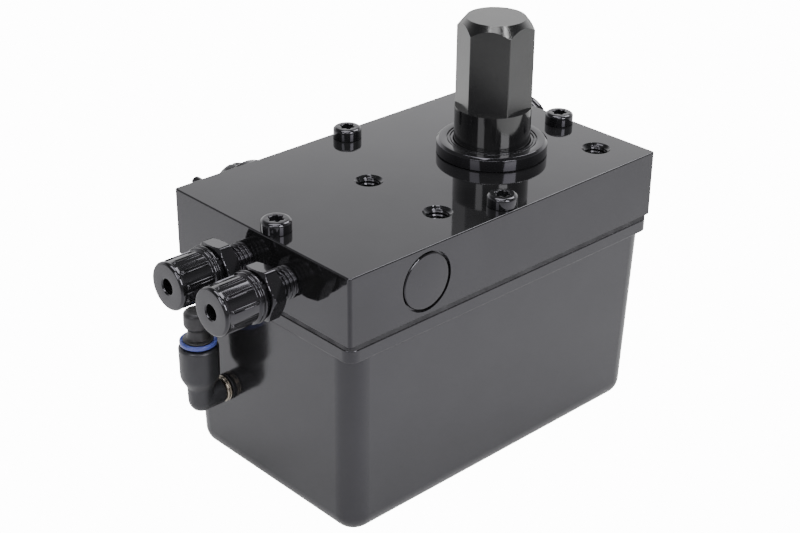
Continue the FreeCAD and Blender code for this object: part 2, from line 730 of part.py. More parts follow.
def valve_spool():
    body = rod_y(SPOOL_R, VALVE_X, MID_Z, SPOOL_START_Y, SPOOL_END_Y)
    body = body.fuse(rod_y(STEM_R, VALVE_X, MID_Z, SPOOL_END_Y, STEM_END_Y))
    centres = list(PORT_YS.values()) + [CYL_Y]
    for y in centres:
        y0 = y - SPOOL_GROOVE_W / 2
        body = body.cut(tube_y(SPOOL_R + EPS, SPOOL_GROOVE_R, VALVE_X, MID_Z, y0, y0 + SPOOL_GROOVE_W))
    for y0 in spool_ring_ys():
        body = body.cut(tube_y(SPOOL_R + EPS, SPOOL_GROOVE_R, VALVE_X, MID_Z, y0, y0 + SPOOL_RING_W))
    return body.removeSplitter()


def spool_rings():
    rings = [tube_y(SPOOL_R, SPOOL_GROOVE_R, VALVE_X, MID_Z, y, y + SPOOL_RING_W) for y in spool_ring_ys()]
    return Part.makeCompound(rings)


def front_plug():
    y0 = -BLOCK_W / 2
    return rod_y(PLUG_R, VALVE_X, MID_Z, y0, y0 + PLUG_T)


def valve_flange():
    y0 = BLOCK_W / 2
    body = rod_y(FLANGE_R, VALVE_X, MID_Z, y0, y0 + FLANGE_T)
    body = body.fuse(rod_y(SPOOL_R, VALVE_X, MID_Z, y0 - FLANGE_SPIGOT, y0))
    hole = rod_y(STEM_R + RUN_GAP, VALVE_X, MID_Z, y0 - FLANGE_SPIGOT - EPS, y0 + FLANGE_T + EPS)
    return body.cut(hole).removeSplitter()


def valve_knob():
    body = rod_y(KNOB_R, VALVE_X, MID_Z, KNOB_START_Y, KNOB_END_Y)
    far = [e for e in body.Edges if abs(e.BoundBox.YMin - KNOB_END_Y) < 1e-4]
    body = body.makeFillet(CAP_ROUND, far)
    lug = Part.makeBox(
        KNOB_LUG_REACH, KNOB_LUG_T, KNOB_LUG_W,
        V(VALVE_X, KNOB_END_Y - KNOB_LUG_T - CAP_ROUND, MID_Z - KNOB_LUG_W / 2),
    )
    body = body.fuse(lug)
    return body.cut(rod_y(STEM_R, VALVE_X, MID_Z, KNOB_START_Y - EPS, STEM_END_Y)).removeSplitter()


def bleed_screw():
    body = rod_y(BLEED_R, BLEED_X, BLEED_Z, BLEED_START_Y, BLEED_END_Y)
    slot = Part.makeBox(
        2 * BLEED_R + 2 * EPS, BLEED_SLOT_DEPTH + EPS, BLEED_SLOT_W,
        V(BLEED_X - BLEED_R - EPS, BLEED_END_Y - BLEED_SLOT_DEPTH, BLEED_Z - BLEED_SLOT_W / 2),
    )
    return body.cut(slot)


def bleed_nut():
    y0 = BLOCK_W / 2
    body = hex_y(BLEED_NUT_AF, BLEED_X, BLEED_Z, y0, y0 + BLEED_NUT_T, 0)
    return body.cut(rod_y(BLEED_R + FIT_THREAD_GAP, BLEED_X, BLEED_Z, y0 - EPS, y0 + BLEED_NUT_T + EPS))


# ---------------------------------------------------------------- hose fittings
def fitting_body(y):
    half = BLOCK_L / 2
    z = MID_Z
    body = rod_x(FIT_THREAD_R, y, z, -half + FIT_THREAD_DEPTH, FIT_HEX_START_X)
    nut = hex_x(FIT_HEX_AF, y, z, FIT_HEX_START_X, FIT_HEX_END_X, FIT_HEX_ANGLE)
    inner_x0 = FIT_HEX_START_X - FIT_HEX_CHAMFER
    inner_x1 = FIT_HEX_END_X + FIT_HEX_CHAMFER
    envelope = rod_x(FIT_HEX_TRIM_R, y, z, inner_x0, inner_x1)
    envelope = envelope.fuse(cone_x(FIT_HEX_TRIM_R, FIT_HEX_FACE_R, y, z, inner_x0, FIT_HEX_START_X))
    envelope = envelope.fuse(cone_x(FIT_HEX_TRIM_R, FIT_HEX_FACE_R, y, z, inner_x1, FIT_HEX_END_X))
    nut = nut.common(envelope)
    neck = rod_x(FIT_NECK_R, y, z, FIT_HEX_END_X, FIT_NECK_END_X)
    spigot = rod_x(FIT_SPIGOT_R, y, z, FIT_NECK_END_X, FIT_SPIGOT_END_X)
    body = fuse_all([body, nut, neck, spigot])
    body = body.cut(rod_x(TUBE_SEAT_R, y, z, TUBE_SEAT_X, FIT_SPIGOT_END_X - EPS))
    return body.cut(rod_x(FIT_BORE_R, y, z, -half + FIT_THREAD_DEPTH + EPS, FIT_SPIGOT_END_X - EPS))


def cap_nut(y):
    z = MID_Z
    parts = [rod_x(NUT_FLANGE_R, y, z, NUT_START_X, NUT_FLANGE_END_X)]
    parts.append(rod_x(NUT_BARREL_R, y, z, NUT_FLANGE_END_X, NUT_RIM_X))
    rim = rod_x(NUT_RIM_R, y, z, NUT_RIM_X, NUT_END_X)
    face = [e for e in rim.Edges if abs(e.BoundBox.XMax - NUT_END_X) < 1e-4]
    parts.append(rim.makeFillet(NUT_FACE_ROUND, face))
    length = NUT_FLANGE_END_X - NUT_RIM_X
    limit = rod_x(NUT_RIB_R, y, z, NUT_FLANGE_END_X, NUT_RIM_X)
    for k in range(NUT_RIBS):
        rib = Part.makeBox(length, NUT_RIB_W, NUT_RIB_R, V(NUT_RIM_X, y - NUT_RIB_W / 2, z + NUT_RIB_R / 2))
        rib.rotate(V(0, y, z), X_AXIS, 360.0 * k / NUT_RIBS)
        parts.append(rib.common(limit))
    body = fuse_all(parts)
    body = body.cut(rod_x(NUT_BORE_R, y, z, NUT_START_X + EPS, NUT_BORE_END_X))
    body = body.cut(cone_x(NUT_BORE_R, TUBE_HOLE_R, y, z, NUT_BORE_END_X, NUT_CONE_END_X))
    return body.cut(rod_x(TUBE_HOLE_R, y, z, NUT_CONE_END_X + EPS, NUT_END_X - EPS))


def ferrule(y):
    body = cone_x(FERRULE_R, FERRULE_TIP_R, y, MID_Z, FERRULE_START_X, FERRULE_END_X)
    return body.cut(rod_x(TUBE_HOLE_R, y, MID_Z, FERRULE_START_X + EPS, FERRULE_END_X - EPS))


# ---------------------------------------------------------------- suction line and check valve
def check_seat():
    body = tube(CHECK_R - CHECK_FIT, SEAT_HOLE_R, CHECK_X, CYL_Y, SEAT_TOP_Z - SEAT_T, SEAT_TOP_Z)
    return body


def ball_centre_z():
    return SEAT_TOP_Z + math.sqrt(BALL_R ** 2 - SEAT_HOLE_R ** 2) + BALL_LIFT


def check_ball():
    return Part.makeSphere(BALL_R, V(CHECK_X, CYL_Y, ball_centre_z()))


def check_spring():
    z0 = ball_centre_z() + BALL_R * math.cos(math.asin(COIL_R / BALL_R)) + COIL_WIRE_R * 2
    z1 = CHECK_TOP_Z - COIL_WIRE_R * 1.5
    height = z1 - z0
    helix = Part.makeHelix(height / COIL_TURNS, height, COIL_R)
    profile = Part.Wire(Part.makeCircle(COIL_WIRE_R, V(COIL_R, 0, 0), Y_AXIS))
    coil = Part.Wire(helix).makePipeShell([profile], True, True)
    coil.translate(V(CHECK_X, CYL_Y, z0))
    return coil


def suction_tube():
    collar_top = SEAT_TOP_Z - SEAT_T
    body = rod(TUBE_COLLAR_R, CHECK_X, CYL_Y, TUBE_COLLAR_END_Z, collar_top)
    body = body.fuse(rod(TUBE_R, CHECK_X, CYL_Y, TUBE_END_Z, TUBE_COLLAR_END_Z))
    body = body.cut(rod(TUBE_BORE_R, CHECK_X, CYL_Y, TUBE_END_Z - EPS, collar_top + EPS))
    return body.removeSplitter()


def suction_strainer():
    body = rod(STRAINER_R, CHECK_X, CYL_Y, STRAINER_BASE_Z, STRAINER_TOP_Z)
    inner_r = STRAINER_R - STRAINER_WALL
    z0 = STRAINER_BASE_Z + STRAINER_WALL
    z1 = STRAINER_TOP_Z - STRAINER_WALL
    body = body.cut(rod(inner_r, CHECK_X, CYL_Y, z0, z1))
    body = body.cut(rod(TUBE_R + CHECK_FIT, CHECK_X, CYL_Y, z1 - EPS, STRAINER_TOP_Z + EPS))
    for k in range(STRAINER_SLOTS):
        slot = Part.makeBox(
            STRAINER_R, STRAINER_SLOT_W, z1 - z0 - 2 * STRAINER_WALL,
            V(CHECK_X + inner_r / 2, CYL_Y - STRAINER_SLOT_W / 2, z0 + STRAINER_WALL),
        )
        slot.rotate(V(CHECK_X, CYL_Y, 0), Z_AXIS, 360.0 * k / STRAINER_SLOTS)
        body = body.cut(slot)
    return body


# ---------------------------------------------------------------- push-in elbow on the tank
def port_stud():
    y = ELBOW_Y
    z = ELBOW_Z
    body = rod_x(STUD_R, y, z, STUD_START_X, STUD_END_X)
    body = body.fuse(rod_x(STUD_COLLAR_R, y, z, STUD_COLLAR_X0, STUD_COLLAR_X1))
    body = body.cut(rod_x(STUD_BORE_R, y, z, STUD_START_X + EPS, STUD_END_X - EPS))
    return body.removeSplitter()


def port_seal():
    return tube_x(PORT_SEAL_R, STUD_R + RUN_GAP, ELBOW_Y, ELBOW_Z, PORT_SEAL_X0, STUD_COLLAR_X0)


def stud_nut():
    body = hex_x(STUD_NUT_AF, ELBOW_Y, ELBOW_Z, STUD_NUT_X0, STUD_NUT_X1 + EPS, 0)
    return body.cut(rod_x(STUD_R, ELBOW_Y, ELBOW_Z, STUD_START_X, STUD_NUT_X1 - EPS))


def elbow_body():
    x = ELBOW_X
    y = ELBOW_Y
    z = ELBOW_Z
    arm = rod_x(ELBOW_ARM_R, y, z, ELBOW_ARM_X0, x)
    knee = Part.makeSphere(ELBOW_ARM_R, V(x, y, z))
    neck = rod(ELBOW_ARM_R, x, y, z, ELBOW_CONE_Z0)
    shoulder = cone(ELBOW_ARM_R, ELBOW_LEG_R, x, y, ELBOW_CONE_Z0, ELBOW_CONE_Z1)
    leg = rod(ELBOW_LEG_R, x, y, ELBOW_CONE_Z1, ELBOW_TOP_Z)
    leg = leg.makeChamfer(ELBOW_TOP_CHAMFER, top_edges(leg, ELBOW_TOP_Z))
    body = fuse_all([arm, knee, neck, shoulder, leg])
    body = body.cut(rod_x(STUD_R + RUN_GAP, y, z, ELBOW_ARM_X0 + EPS, STUD_END_X - EPS))
    body = body.cut(rod_x(ELBOW_WATER_R, y, z, STUD_END_X, x))
    body = body.cut(rod(ELBOW_WATER_R, x, y, z, SOCKET_BASE_Z + EPS))
    body = body.cut(rod(SOCKET_R, x, y, SOCKET_BASE_Z, ELBOW_TOP_Z + EPS))
    body = body.cut(rod(RING_SEAT_R, x, y, RING_SEAT_Z0, ELBOW_TOP_Z + EPS))
    return body


def elbow_ring():
    return tube(RING_SEAT_R, SOCKET_R, ELBOW_X, ELBOW_Y, ORING_Z0, ORING_Z0 + ORING_T)


def grip_ring():
    return tube(RING_SEAT_R, SOCKET_R, ELBOW_X, ELBOW_Y, GRIP_Z0, GRIP_Z0 + GRIP_T)


def release_collar():
    x = ELBOW_X
    y = ELBOW_Y
    head = rod(COLLAR_HEAD_R, x, y, COLLAR_HEAD_Z0, COLLAR_HEAD_Z1)
    body = head.fuse(rod(COLLAR_SLEEVE_R, x, y, COLLAR_SLEEVE_END_Z, COLLAR_HEAD_Z0))
    body = body.cut(rod(COLLAR_BORE_R, x, y, COLLAR_SLEEVE_END_Z - EPS, COLLAR_HEAD_Z1 + EPS))
    dish = cone(COLLAR_BORE_R, COLLAR_HEAD_R - EPS, x, y, COLLAR_HEAD_Z1 - COLLAR_DISH, COLLAR_HEAD_Z1)
    return body.cut(dish).removeSplitter()


def blanking_plug():
    x = ELBOW_X
    y = ELBOW_Y
    head = rod(BLANK_HEAD_R, x, y, BLANK_HEAD_Z0, BLANK_HEAD_Z1)
    ends = top_edges(head, BLANK_HEAD_Z1) + top_edges(head, BLANK_HEAD_Z0)
    head = head.makeFillet(BLANK_HEAD_ROUND, ends)
    stem = rod(BLANK_R, x, y, BLANK_BASE_Z, BLANK_HEAD_Z0 + BLANK_HEAD_ROUND)
    return stem.fuse(head).removeSplitter()


# ---------------------------------------------------------------- write every node
SINGLE_NODES = (
    valve_block, tank_gasket, tank, tank_sleeves, tank_screws,
    spindle, gland_ring, upper_bush, shaft_seal, wiper_seal, thrust_washer,
    gear_sector, retaining_clip, gear_cover, lower_bush, cover_ring,
    rack_piston, piston_rings, cylinder_cap, cap_washer,
    valve_spool, spool_rings, front_plug, valve_flange, valve_knob,
    bleed_screw, bleed_nut,
    check_seat, check_ball, check_spring, suction_tube, suction_strainer,
    port_stud, port_seal, stud_nut, elbow_body, elbow_ring, grip_ring,
    release_collar, blanking_plug,
)

for make in SINGLE_NODES:
    save(make.__name__, make())

save("drive_key", key_box(0))

for side, port_y in PORT_YS.items():
    save("fitting_body_" + side, fitting_body(port_y))
    save("cap_nut_" + side, cap_nut(port_y))
    save("ferrule_" + side, ferrule(port_y))
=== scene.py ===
import json
import math

import bmesh
import bpy
from mathutils import Matrix, Vector


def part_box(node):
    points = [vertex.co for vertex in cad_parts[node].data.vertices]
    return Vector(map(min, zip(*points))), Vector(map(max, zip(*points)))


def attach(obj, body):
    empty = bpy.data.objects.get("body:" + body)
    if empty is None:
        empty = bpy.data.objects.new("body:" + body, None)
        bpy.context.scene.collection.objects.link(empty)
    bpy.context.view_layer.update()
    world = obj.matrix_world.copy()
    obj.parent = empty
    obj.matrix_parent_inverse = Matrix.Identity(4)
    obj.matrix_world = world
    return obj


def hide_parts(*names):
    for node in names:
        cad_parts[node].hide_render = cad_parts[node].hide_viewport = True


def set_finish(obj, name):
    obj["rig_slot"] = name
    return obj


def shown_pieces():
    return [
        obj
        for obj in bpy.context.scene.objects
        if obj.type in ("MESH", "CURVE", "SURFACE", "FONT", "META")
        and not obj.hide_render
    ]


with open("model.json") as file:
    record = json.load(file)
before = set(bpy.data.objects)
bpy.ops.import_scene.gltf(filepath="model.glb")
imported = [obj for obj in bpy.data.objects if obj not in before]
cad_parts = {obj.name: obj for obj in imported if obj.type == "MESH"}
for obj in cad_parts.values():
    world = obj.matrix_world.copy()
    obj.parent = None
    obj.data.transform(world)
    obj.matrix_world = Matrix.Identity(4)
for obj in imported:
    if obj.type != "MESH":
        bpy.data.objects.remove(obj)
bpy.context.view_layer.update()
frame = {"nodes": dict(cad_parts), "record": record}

# Looks for the rotary actuator unit. Lengths are written in millimetres and turned into metres by MM.
MM = 0.001
TAU = 2 * math.pi

# ---------------------------------------------------------------- places read from the frame
X_AXIS = Vector((1, 0, 0))
Y_AXIS = Vector((0, 1, 0))
Z_AXIS = Vector((0, 0, 1))


def box_mm(node):
    low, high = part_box(node)
    return Vector(low) / MM, Vector(high) / MM


def middle(node):
    low, high = box_mm(node)
    return (low + high) / 2


BLOCK_LOW, BLOCK_HIGH = box_mm("valve_block")
TANK_BASE_Z = box_mm("tank")[0].z
GLAND = middle("gland_ring")
PORT_Z = middle("cap_nut_front").z


# ---------------------------------------------------------------- mesh helpers
def add_object(name, mesh, body, slot_name, *replaced):
    obj = bpy.data.objects.new(name, mesh)
    bpy.context.scene.collection.objects.link(obj)
    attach(obj, body)
    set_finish(obj, slot_name)
    if replaced:
        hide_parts(*replaced)


def frame_of(origin, axis):
    """Matrix from (radial u, radial v, along) in millimetres to the part's frame in metres."""
    axis = axis.normalized()
    if abs(axis.z) > 0.9:
        u, v = X_AXIS, axis.cross(X_AXIS)
    else:
        v = Z_AXIS
        u = v.cross(axis)
    m = Matrix((
        (u.x, v.x, axis.x, origin.x),
        (u.y, v.y, axis.y, origin.y),
        (u.z, v.z, axis.z, origin.z),
        (0, 0, 0, 1),
    ))
    return Matrix.Scale(MM, 4) @ m


def ring_mesh(bm, matrix, stations, count, radius, cap_start=False, cap_end=False, offset=0.0):
    """Skin of rings: radius(i, along, angle) in millimetres for each station i, joined into one surface."""
    rings = []
    for i, along in enumerate(stations):
        ring = []
        for k in range(count):
            angle = offset + TAU * k / count
            r = radius(i, along, angle)
            ring.append(bm.verts.new(matrix @ Vector((r * math.cos(angle), r * math.sin(angle), along))))
        rings.append(ring)
    for a, b in zip(rings, rings[1:]):
        for k in range(count):
            n = (k + 1) % count
            bm.faces.new((a[k], a[n], b[n], b[k]))
    if cap_start:
        bm.faces.new(list(reversed(rings[0])))
    if cap_end:
        bm.faces.new(rings[-1])


def finish_mesh(name, bm, sharp=35.0):
    bmesh.ops.remove_doubles(bm, verts=bm.verts, dist=1e-7)
    bmesh.ops.recalc_face_normals(bm, faces=bm.faces)
    mesh = bpy.data.meshes.new(name)
    bm.to_mesh(mesh)
    bm.free()
    mesh.shade_smooth()
    mesh.set_sharp_from_angle(angle=math.radians(sharp))
    return mesh


def eased(points, r, steps=4):
    """The open outline (along, radius) with each inner corner rounded by about r millimetres."""
    out = [points[0]]
    for before, here, after in zip(points, points[1:], points[2:]):
        p = Vector(here[:2])
        a = Vector(before[:2]) - p
        b = Vector(after[:2]) - p
        own = here[2] if len(here) > 2 else r
        if own <= 0 or a.length < 1e-6 or b.length < 1e-6:
            out.append((p.x, p.y))
            continue
        reach = min(own, a.length * 0.45, b.length * 0.45)
        start = p + a.normalized() * reach
        end = p + b.normalized() * reach
        for s in range(steps + 1):
            t = s / steps
            q = start.lerp(p, t).lerp(p.lerp(end, t), t)
            out.append((q.x, q.y))
    out.append(points[-1][:2])
    return out


def turned(name, origin, axis, outline, body, slot_name, *replaced,
           count=96, ease=0.3, shape=None, sharp=35.0):
    """A closed piece turned about axis from an outline of (along, radius) that starts and ends on the axis
    or joins up with itself. shape(along, radius, angle) may change the radius."""
    bm = bmesh.new()
    add_turned(bm, origin, axis, outline, count, ease, shape)
    add_object(name, finish_mesh(name, bm, sharp), body, slot_name, *replaced)


def add_turned(bm, origin, axis, outline, count=96, ease=0.3, shape=None):
    path = eased(outline, ease)
    stations = [p[0] for p in path]
    radii = [p[1] for p in path]

    def radius(i, along, angle):
        r = radii[i]
        return shape(along, r, angle) if shape else r

    ring_mesh(bm, frame_of(origin, axis), stations, count, radius)


def hex_radius(flats, angle, turn=0.0):
    """Radius of a regular hexagon of that width across flats, with a corner at angle turn."""
    step = TAU / 6
    local = (angle - turn) % step - step / 2
    return flats / 2 / math.cos(local)


ROOT_FLAT = 0.12
FLANK_SHARE = 0.7


def thread_radius(along, angle, pitch, root, crest, fade):
    """Radius of a right-handed thread; fade runs from 0, plain root, to 1, full ridges."""
    phase = (along / pitch - angle / TAU) % 1.0
    ridge = 1 - abs(2 * phase - 1)
    ridge = min(1.0, max(0.0, (ridge - ROOT_FLAT) / FLANK_SHARE))
    return root + (crest - root) * ridge * fade


# ---------------------------------------------------------------- materials
def new_material(name):
    mat = bpy.data.materials.new(name)
    mat.use_nodes = True
    tree = mat.node_tree
    shader = tree.nodes["Principled BSDF"]
    return mat, tree, shader


def noise(tree, scale, detail=4.0, rough=0.55, stretch=None):
    coords = tree.nodes.new("ShaderNodeTexCoord")
    mapping = tree.nodes.new("ShaderNodeMapping")
    if stretch:
        mapping.inputs["Scale"].default_value = stretch
    tree.links.new(coords.outputs["Object"], mapping.inputs["Vector"])
    tex = tree.nodes.new("ShaderNodeTexNoise")
    tex.inputs["Scale"].default_value = scale
    tex.inputs["Detail"].default_value = detail
    tex.inputs["Roughness"].default_value = rough
    tree.links.new(mapping.outputs["Vector"], tex.inputs["Vector"])
    return tex.outputs["Fac"]


def remap(tree, value, low, high, to_low, to_high):
    node = tree.nodes.new("ShaderNodeMapRange")
    node.inputs["From Min"].default_value = low
    node.inputs["From Max"].default_value = high
    node.inputs["To Min"].default_value = to_low
    node.inputs["To Max"].default_value = to_high
    tree.links.new(value, node.inputs["Value"])
    return node.outputs["Result"]


def directed(tree, vector, direction):
    """How far vector reaches along direction."""
    node = tree.nodes.new("ShaderNodeVectorMath")
    node.operation = "DOT_PRODUCT"
    tree.links.new(vector, node.inputs[0])
    node.inputs[1].default_value = tuple(direction)
    return node.outputs["Value"]


def arithmetic(tree, operation, first, second):
    node = tree.nodes.new("ShaderNodeMath")
    node.operation = operation
    for socket, value in zip(node.inputs, (first, second)):
        if isinstance(value, float):
            socket.default_value = value
        else:
            tree.links.new(value, socket)
    return node.outputs["Value"]


def times(tree, first, second):
    return arithmetic(tree, "MULTIPLY", first, second)


def greater(tree, first, second):
    return arithmetic(tree, "MAXIMUM", first, second)


def blend_colours(tree, factor, first, second):
    node = tree.nodes.new("ShaderNodeMix")
    node.data_type = "RGBA"
    tree.links.new(factor, node.inputs["Factor"])
    if isinstance(first, tuple):
        node.inputs["A"].default_value = first + (1,)
    else:
        tree.links.new(first, node.inputs["A"])
    node.inputs["B"].default_value = second + (1,)
    return node.outputs["Result"]


def bump(tree, shader, height, strength, distance):
    node = tree.nodes.new("ShaderNodeBump")
    node.inputs["Strength"].default_value = strength
    node.inputs["Distance"].default_value = distance
    tree.links.new(height, node.inputs["Height"])
    tree.links.new(node.outputs["Normal"], shader.inputs["Normal"])


SHEEN_TINT = (0.97, 0.946, 1.06, 1.0)
DUST_COLOUR = (0.09, 0.088, 0.085)
PLASTIC_IOR = 1.5
BLACKENED_IOR = 1.64
BUMP_REACH = 0.0001
GRAIN_REACH = 0.00015
HEX_FOOT_Z = 22.3
HEX_BLEND = 0.3
HEX_ROUGH = 0.22
NECK_ROUGH = 0.10


def spindle_black():
    """Blackened steel: a ground satin hexagon with a polished round neck below it."""
    mat, tree, shader = new_material("spindle_black")
    cloud = remap(tree, noise(tree, 60.0), 0.35, 0.65, 0.0, 1.0)
    tree.links.new(blend_colours(tree, cloud, (0.0050, 0.0050, 0.0055), (0.0090, 0.0090, 0.0095)),
                   shader.inputs["Base Color"])
    coords = tree.nodes.new("ShaderNodeTexCoord")
    parts = tree.nodes.new("ShaderNodeSeparateXYZ")
    tree.links.new(coords.outputs["Object"], parts.inputs[0])
    ground = remap(tree, parts.outputs["Z"], (HEX_FOOT_Z - HEX_BLEND) * MM, HEX_FOOT_Z * MM,
                   NECK_ROUGH, HEX_ROUGH)
    grinding = noise(tree, 300.0, 3.0, 0.6, (6, 6, 1))
    marks = remap(tree, grinding, 0.3, 0.7, 0.9, 1.1)
    tree.links.new(times(tree, ground, marks), shader.inputs["Roughness"])
    shader.inputs["IOR"].default_value = BLACKENED_IOR
    bump(tree, shader, grinding, 0.012, BUMP_REACH)
    return mat


def gloss_black(name, tone, rough, wave, ior=1.5):
    """Gloss black finish: faint tone change, a few dust specks, slight orange peel."""
    mat, tree, shader = new_material(name)
    cloud = remap(tree, noise(tree, 40.0), 0.35, 0.65, 0.0, 1.0)
    base = blend_colours(tree, cloud, tone, tuple(c * 1.5 for c in tone))
    dust = remap(tree, noise(tree, 1900.0, 2.0), 0.72, 0.8, 0.0, 0.35)
    base = blend_colours(tree, dust, base, DUST_COLOUR)
    tree.links.new(base, shader.inputs["Base Color"])
    uneven = remap(tree, noise(tree, 90.0), 0.3, 0.7, rough * 0.7, rough * 1.5)
    tree.links.new(uneven, shader.inputs["Roughness"])
    shader.inputs["IOR"].default_value = ior
    shader.inputs["Specular Tint"].default_value = SHEEN_TINT
    bump(tree, shader, noise(tree, 260.0, 2.0), wave, BUMP_REACH)
    return mat


def moulded(name, tone, rough, grain_scale, grain):
    """Moulded plastic or rubber: soft tone change and fine grain."""
    mat, tree, shader = new_material(name)
    cloud = remap(tree, noise(tree, 55.0, 5.0), 0.3, 0.7, 0.0, 1.0)
    base = blend_colours(tree, cloud, tone, tuple(c * 1.35 for c in tone))
    tree.links.new(base, shader.inputs["Base Color"])
    uneven = remap(tree, noise(tree, 130.0), 0.3, 0.7, rough * 0.8, rough * 1.25)
    tree.links.new(uneven, shader.inputs["Roughness"])
    shader.inputs["IOR"].default_value = PLASTIC_IOR
    shader.inputs["Specular Tint"].default_value = SHEEN_TINT
    bump(tree, shader, noise(tree, grain_scale, 3.0), grain, GRAIN_REACH)
    return mat


def machined(name, tone, rough, stretch, worn):
    """Bare metal with fine turning or brushing marks and slight staining."""
    mat, tree, shader = new_material(name)
    stain = remap(tree, noise(tree, 70.0, 5.0), 0.4, 0.75, 0.0, 1.0)
    tree.links.new(blend_colours(tree, stain, tone, worn), shader.inputs["Base Color"])
    shader.inputs["Metallic"].default_value = 1.0
    marks = noise(tree, 420.0, 3.0, 0.6, stretch)
    tree.links.new(remap(tree, marks, 0.3, 0.7, rough * 0.7, rough * 1.4), shader.inputs["Roughness"])
    bump(tree, shader, marks, 0.12, BUMP_REACH)
    return mat


MATERIALS = {
    "block_black": gloss_black("block_black", (0.0060, 0.0060, 0.0064), 0.05, 0.03),
    "black_plated": gloss_black("black_plated", (0.0050, 0.0050, 0.0054), 0.07, 0.02, ior=1.53),
    "tank_grey": moulded("tank_grey", (0.0100, 0.0100, 0.0108), 0.12, 1100.0, 0.10),
    "gasket_rubber": moulded("gasket_rubber", (0.0050, 0.0050, 0.0050), 0.55, 1500.0, 0.3),
    "bronze": machined("bronze", (0.55, 0.36, 0.18), 0.3, (1, 1, 12), (0.35, 0.22, 0.1)),
    "brass_bright": machined("brass_bright", (0.78, 0.6, 0.28), 0.25, (1, 1, 12), (0.6, 0.42, 0.18)),
    "nickel_brass": machined("nickel_brass", (0.34, 0.31, 0.27), 0.25, (12, 1, 1), (0.24, 0.19, 0.14)),
    "steel_bare": machined("steel_bare", (0.55, 0.55, 0.56), 0.3, (1, 12, 1), (0.4, 0.38, 0.36)),
    "elbow_black": moulded("elbow_black", (0.012, 0.0125, 0.013), 0.38, 1200.0, 0.12),
    "collar_blue": moulded("collar_blue", (0.050, 0.068, 0.25), 0.3, 1200.0, 0.06),
    "plug_grey": moulded("plug_grey", (0.020, 0.020, 0.019), 0.42, 1200.0, 0.15),
}


# ---------------------------------------------------------------- fasteners and gland
SCREW_HEAD_R = 6.5
SCREW_HEAD_H = 5.3
RECESS_DEPTH = 3.0
LOBE_R = 2.95
LOBE_DEPTH = 0.42
LOBE_COUNT = 6
LOBE_MARGIN = 0.35
AXIS_R = 0.001
SCREW_SPOTS = {
    "left": (-85.3, -4.2),
    "right": (85.3, -4.2),
    "back": (0.0, 49.0),
    "front": (0.0, -49.0),
}


def lobed(along, r, angle):
    """Six-lobe recess: only the radii inside the recess follow the lobes."""
    if r > LOBE_R + LOBE_DEPTH + LOBE_MARGIN:
        return r
    return r * (1 + LOBE_DEPTH / LOBE_R * math.cos(LOBE_COUNT * angle))


def tank_screw(side, x, y):
    top = SCREW_HEAD_H
    outline = [
        (top - RECESS_DEPTH - 0.4, AXIS_R), (top - RECESS_DEPTH, LOBE_R * 0.55), (top - RECESS_DEPTH, LOBE_R),
        (top - 0.25, LOBE_R), (top, LOBE_R * 1.08), (top, SCREW_HEAD_R - 1.1, 0.6),
        (top - 0.8, SCREW_HEAD_R, 0.7), (0.15, SCREW_HEAD_R), (0.0, SCREW_HEAD_R - 0.3), (0.0, AXIS_R),
    ]
    turned("tank_screw_" + side, Vector((x, y, 0)), Z_AXIS, outline, "housing", "black_plated",
           "tank_screws", count=72, ease=0.5, shape=lobed)


for side_name, (sx, sy) in SCREW_SPOTS.items():
    tank_screw(side_name, sx, sy)


GLAND_R = 25.0
GLAND_TOP = 6.4
GLAND_FOOT_R = 17.6
SEAT_R = 19.9
WIPER_BASE = 3.0
WIPER_INNER_R = 17.25


def gland_ring():
    outline = [
        (0.0, GLAND_FOOT_R), (0.0, GLAND_R - 0.5, 0), (0.5, GLAND_R, 0.1), (GLAND_TOP - 1.0, GLAND_R, 0.15),
        (GLAND_TOP, GLAND_R - 1.2, 0.15), (GLAND_TOP, SEAT_R + 0.5, 0.05), (GLAND_TOP - 0.8, SEAT_R + 0.4),
        (GLAND_TOP - 0.8, SEAT_R), (0.0, SEAT_R), (0.0, GLAND_FOOT_R),
    ]
    turned("gland_ring_detail", Vector((GLAND.x, GLAND.y, 0)), Z_AXIS, outline, "housing",
           "black_plated", "gland_ring", count=160, ease=0.05)


def wiper_seal():
    """Seal with two lips and a groove between them."""
    outline = [
        (WIPER_BASE, WIPER_INNER_R), (WIPER_BASE, SEAT_R - 0.05), (6.1, SEAT_R - 0.05), (6.2, 19.75),
        (6.2, 19.1), (5.5, 18.95), (5.5, 18.6), (6.1, 18.45), (6.1, 17.8), (6.0, 17.55),
        (WIPER_BASE, WIPER_INNER_R),
    ]
    turned("wiper_seal_detail", Vector((GLAND.x, GLAND.y, 0)), Z_AXIS, outline, "housing",
           "gasket_rubber", "wiper_seal", count=160, ease=0.05, sharp=25.0)


gland_ring()
wiper_seal()


# ---------------------------------------------------------------- tapped holes
TAP_R = 5.1
TAP_CREST = 0.42
TAP_PITCH = 1.75
TAP_STEPS = 12
TAP_TOP = -0.25
TAP_SKIN = 0.015
TAP_SIDES = 72
TAP_BOTTOM_GAP = 1.0
# centre x and y, depth and mouth chamfer of each hole
TAPS = {
    "rear": (-25.0, 6.5, 22.0, 1.25),
    "front": (-25.0, -36.0, 21.0, 1.40),
    "side": (75.0, -36.0, 20.0, 1.55),
}


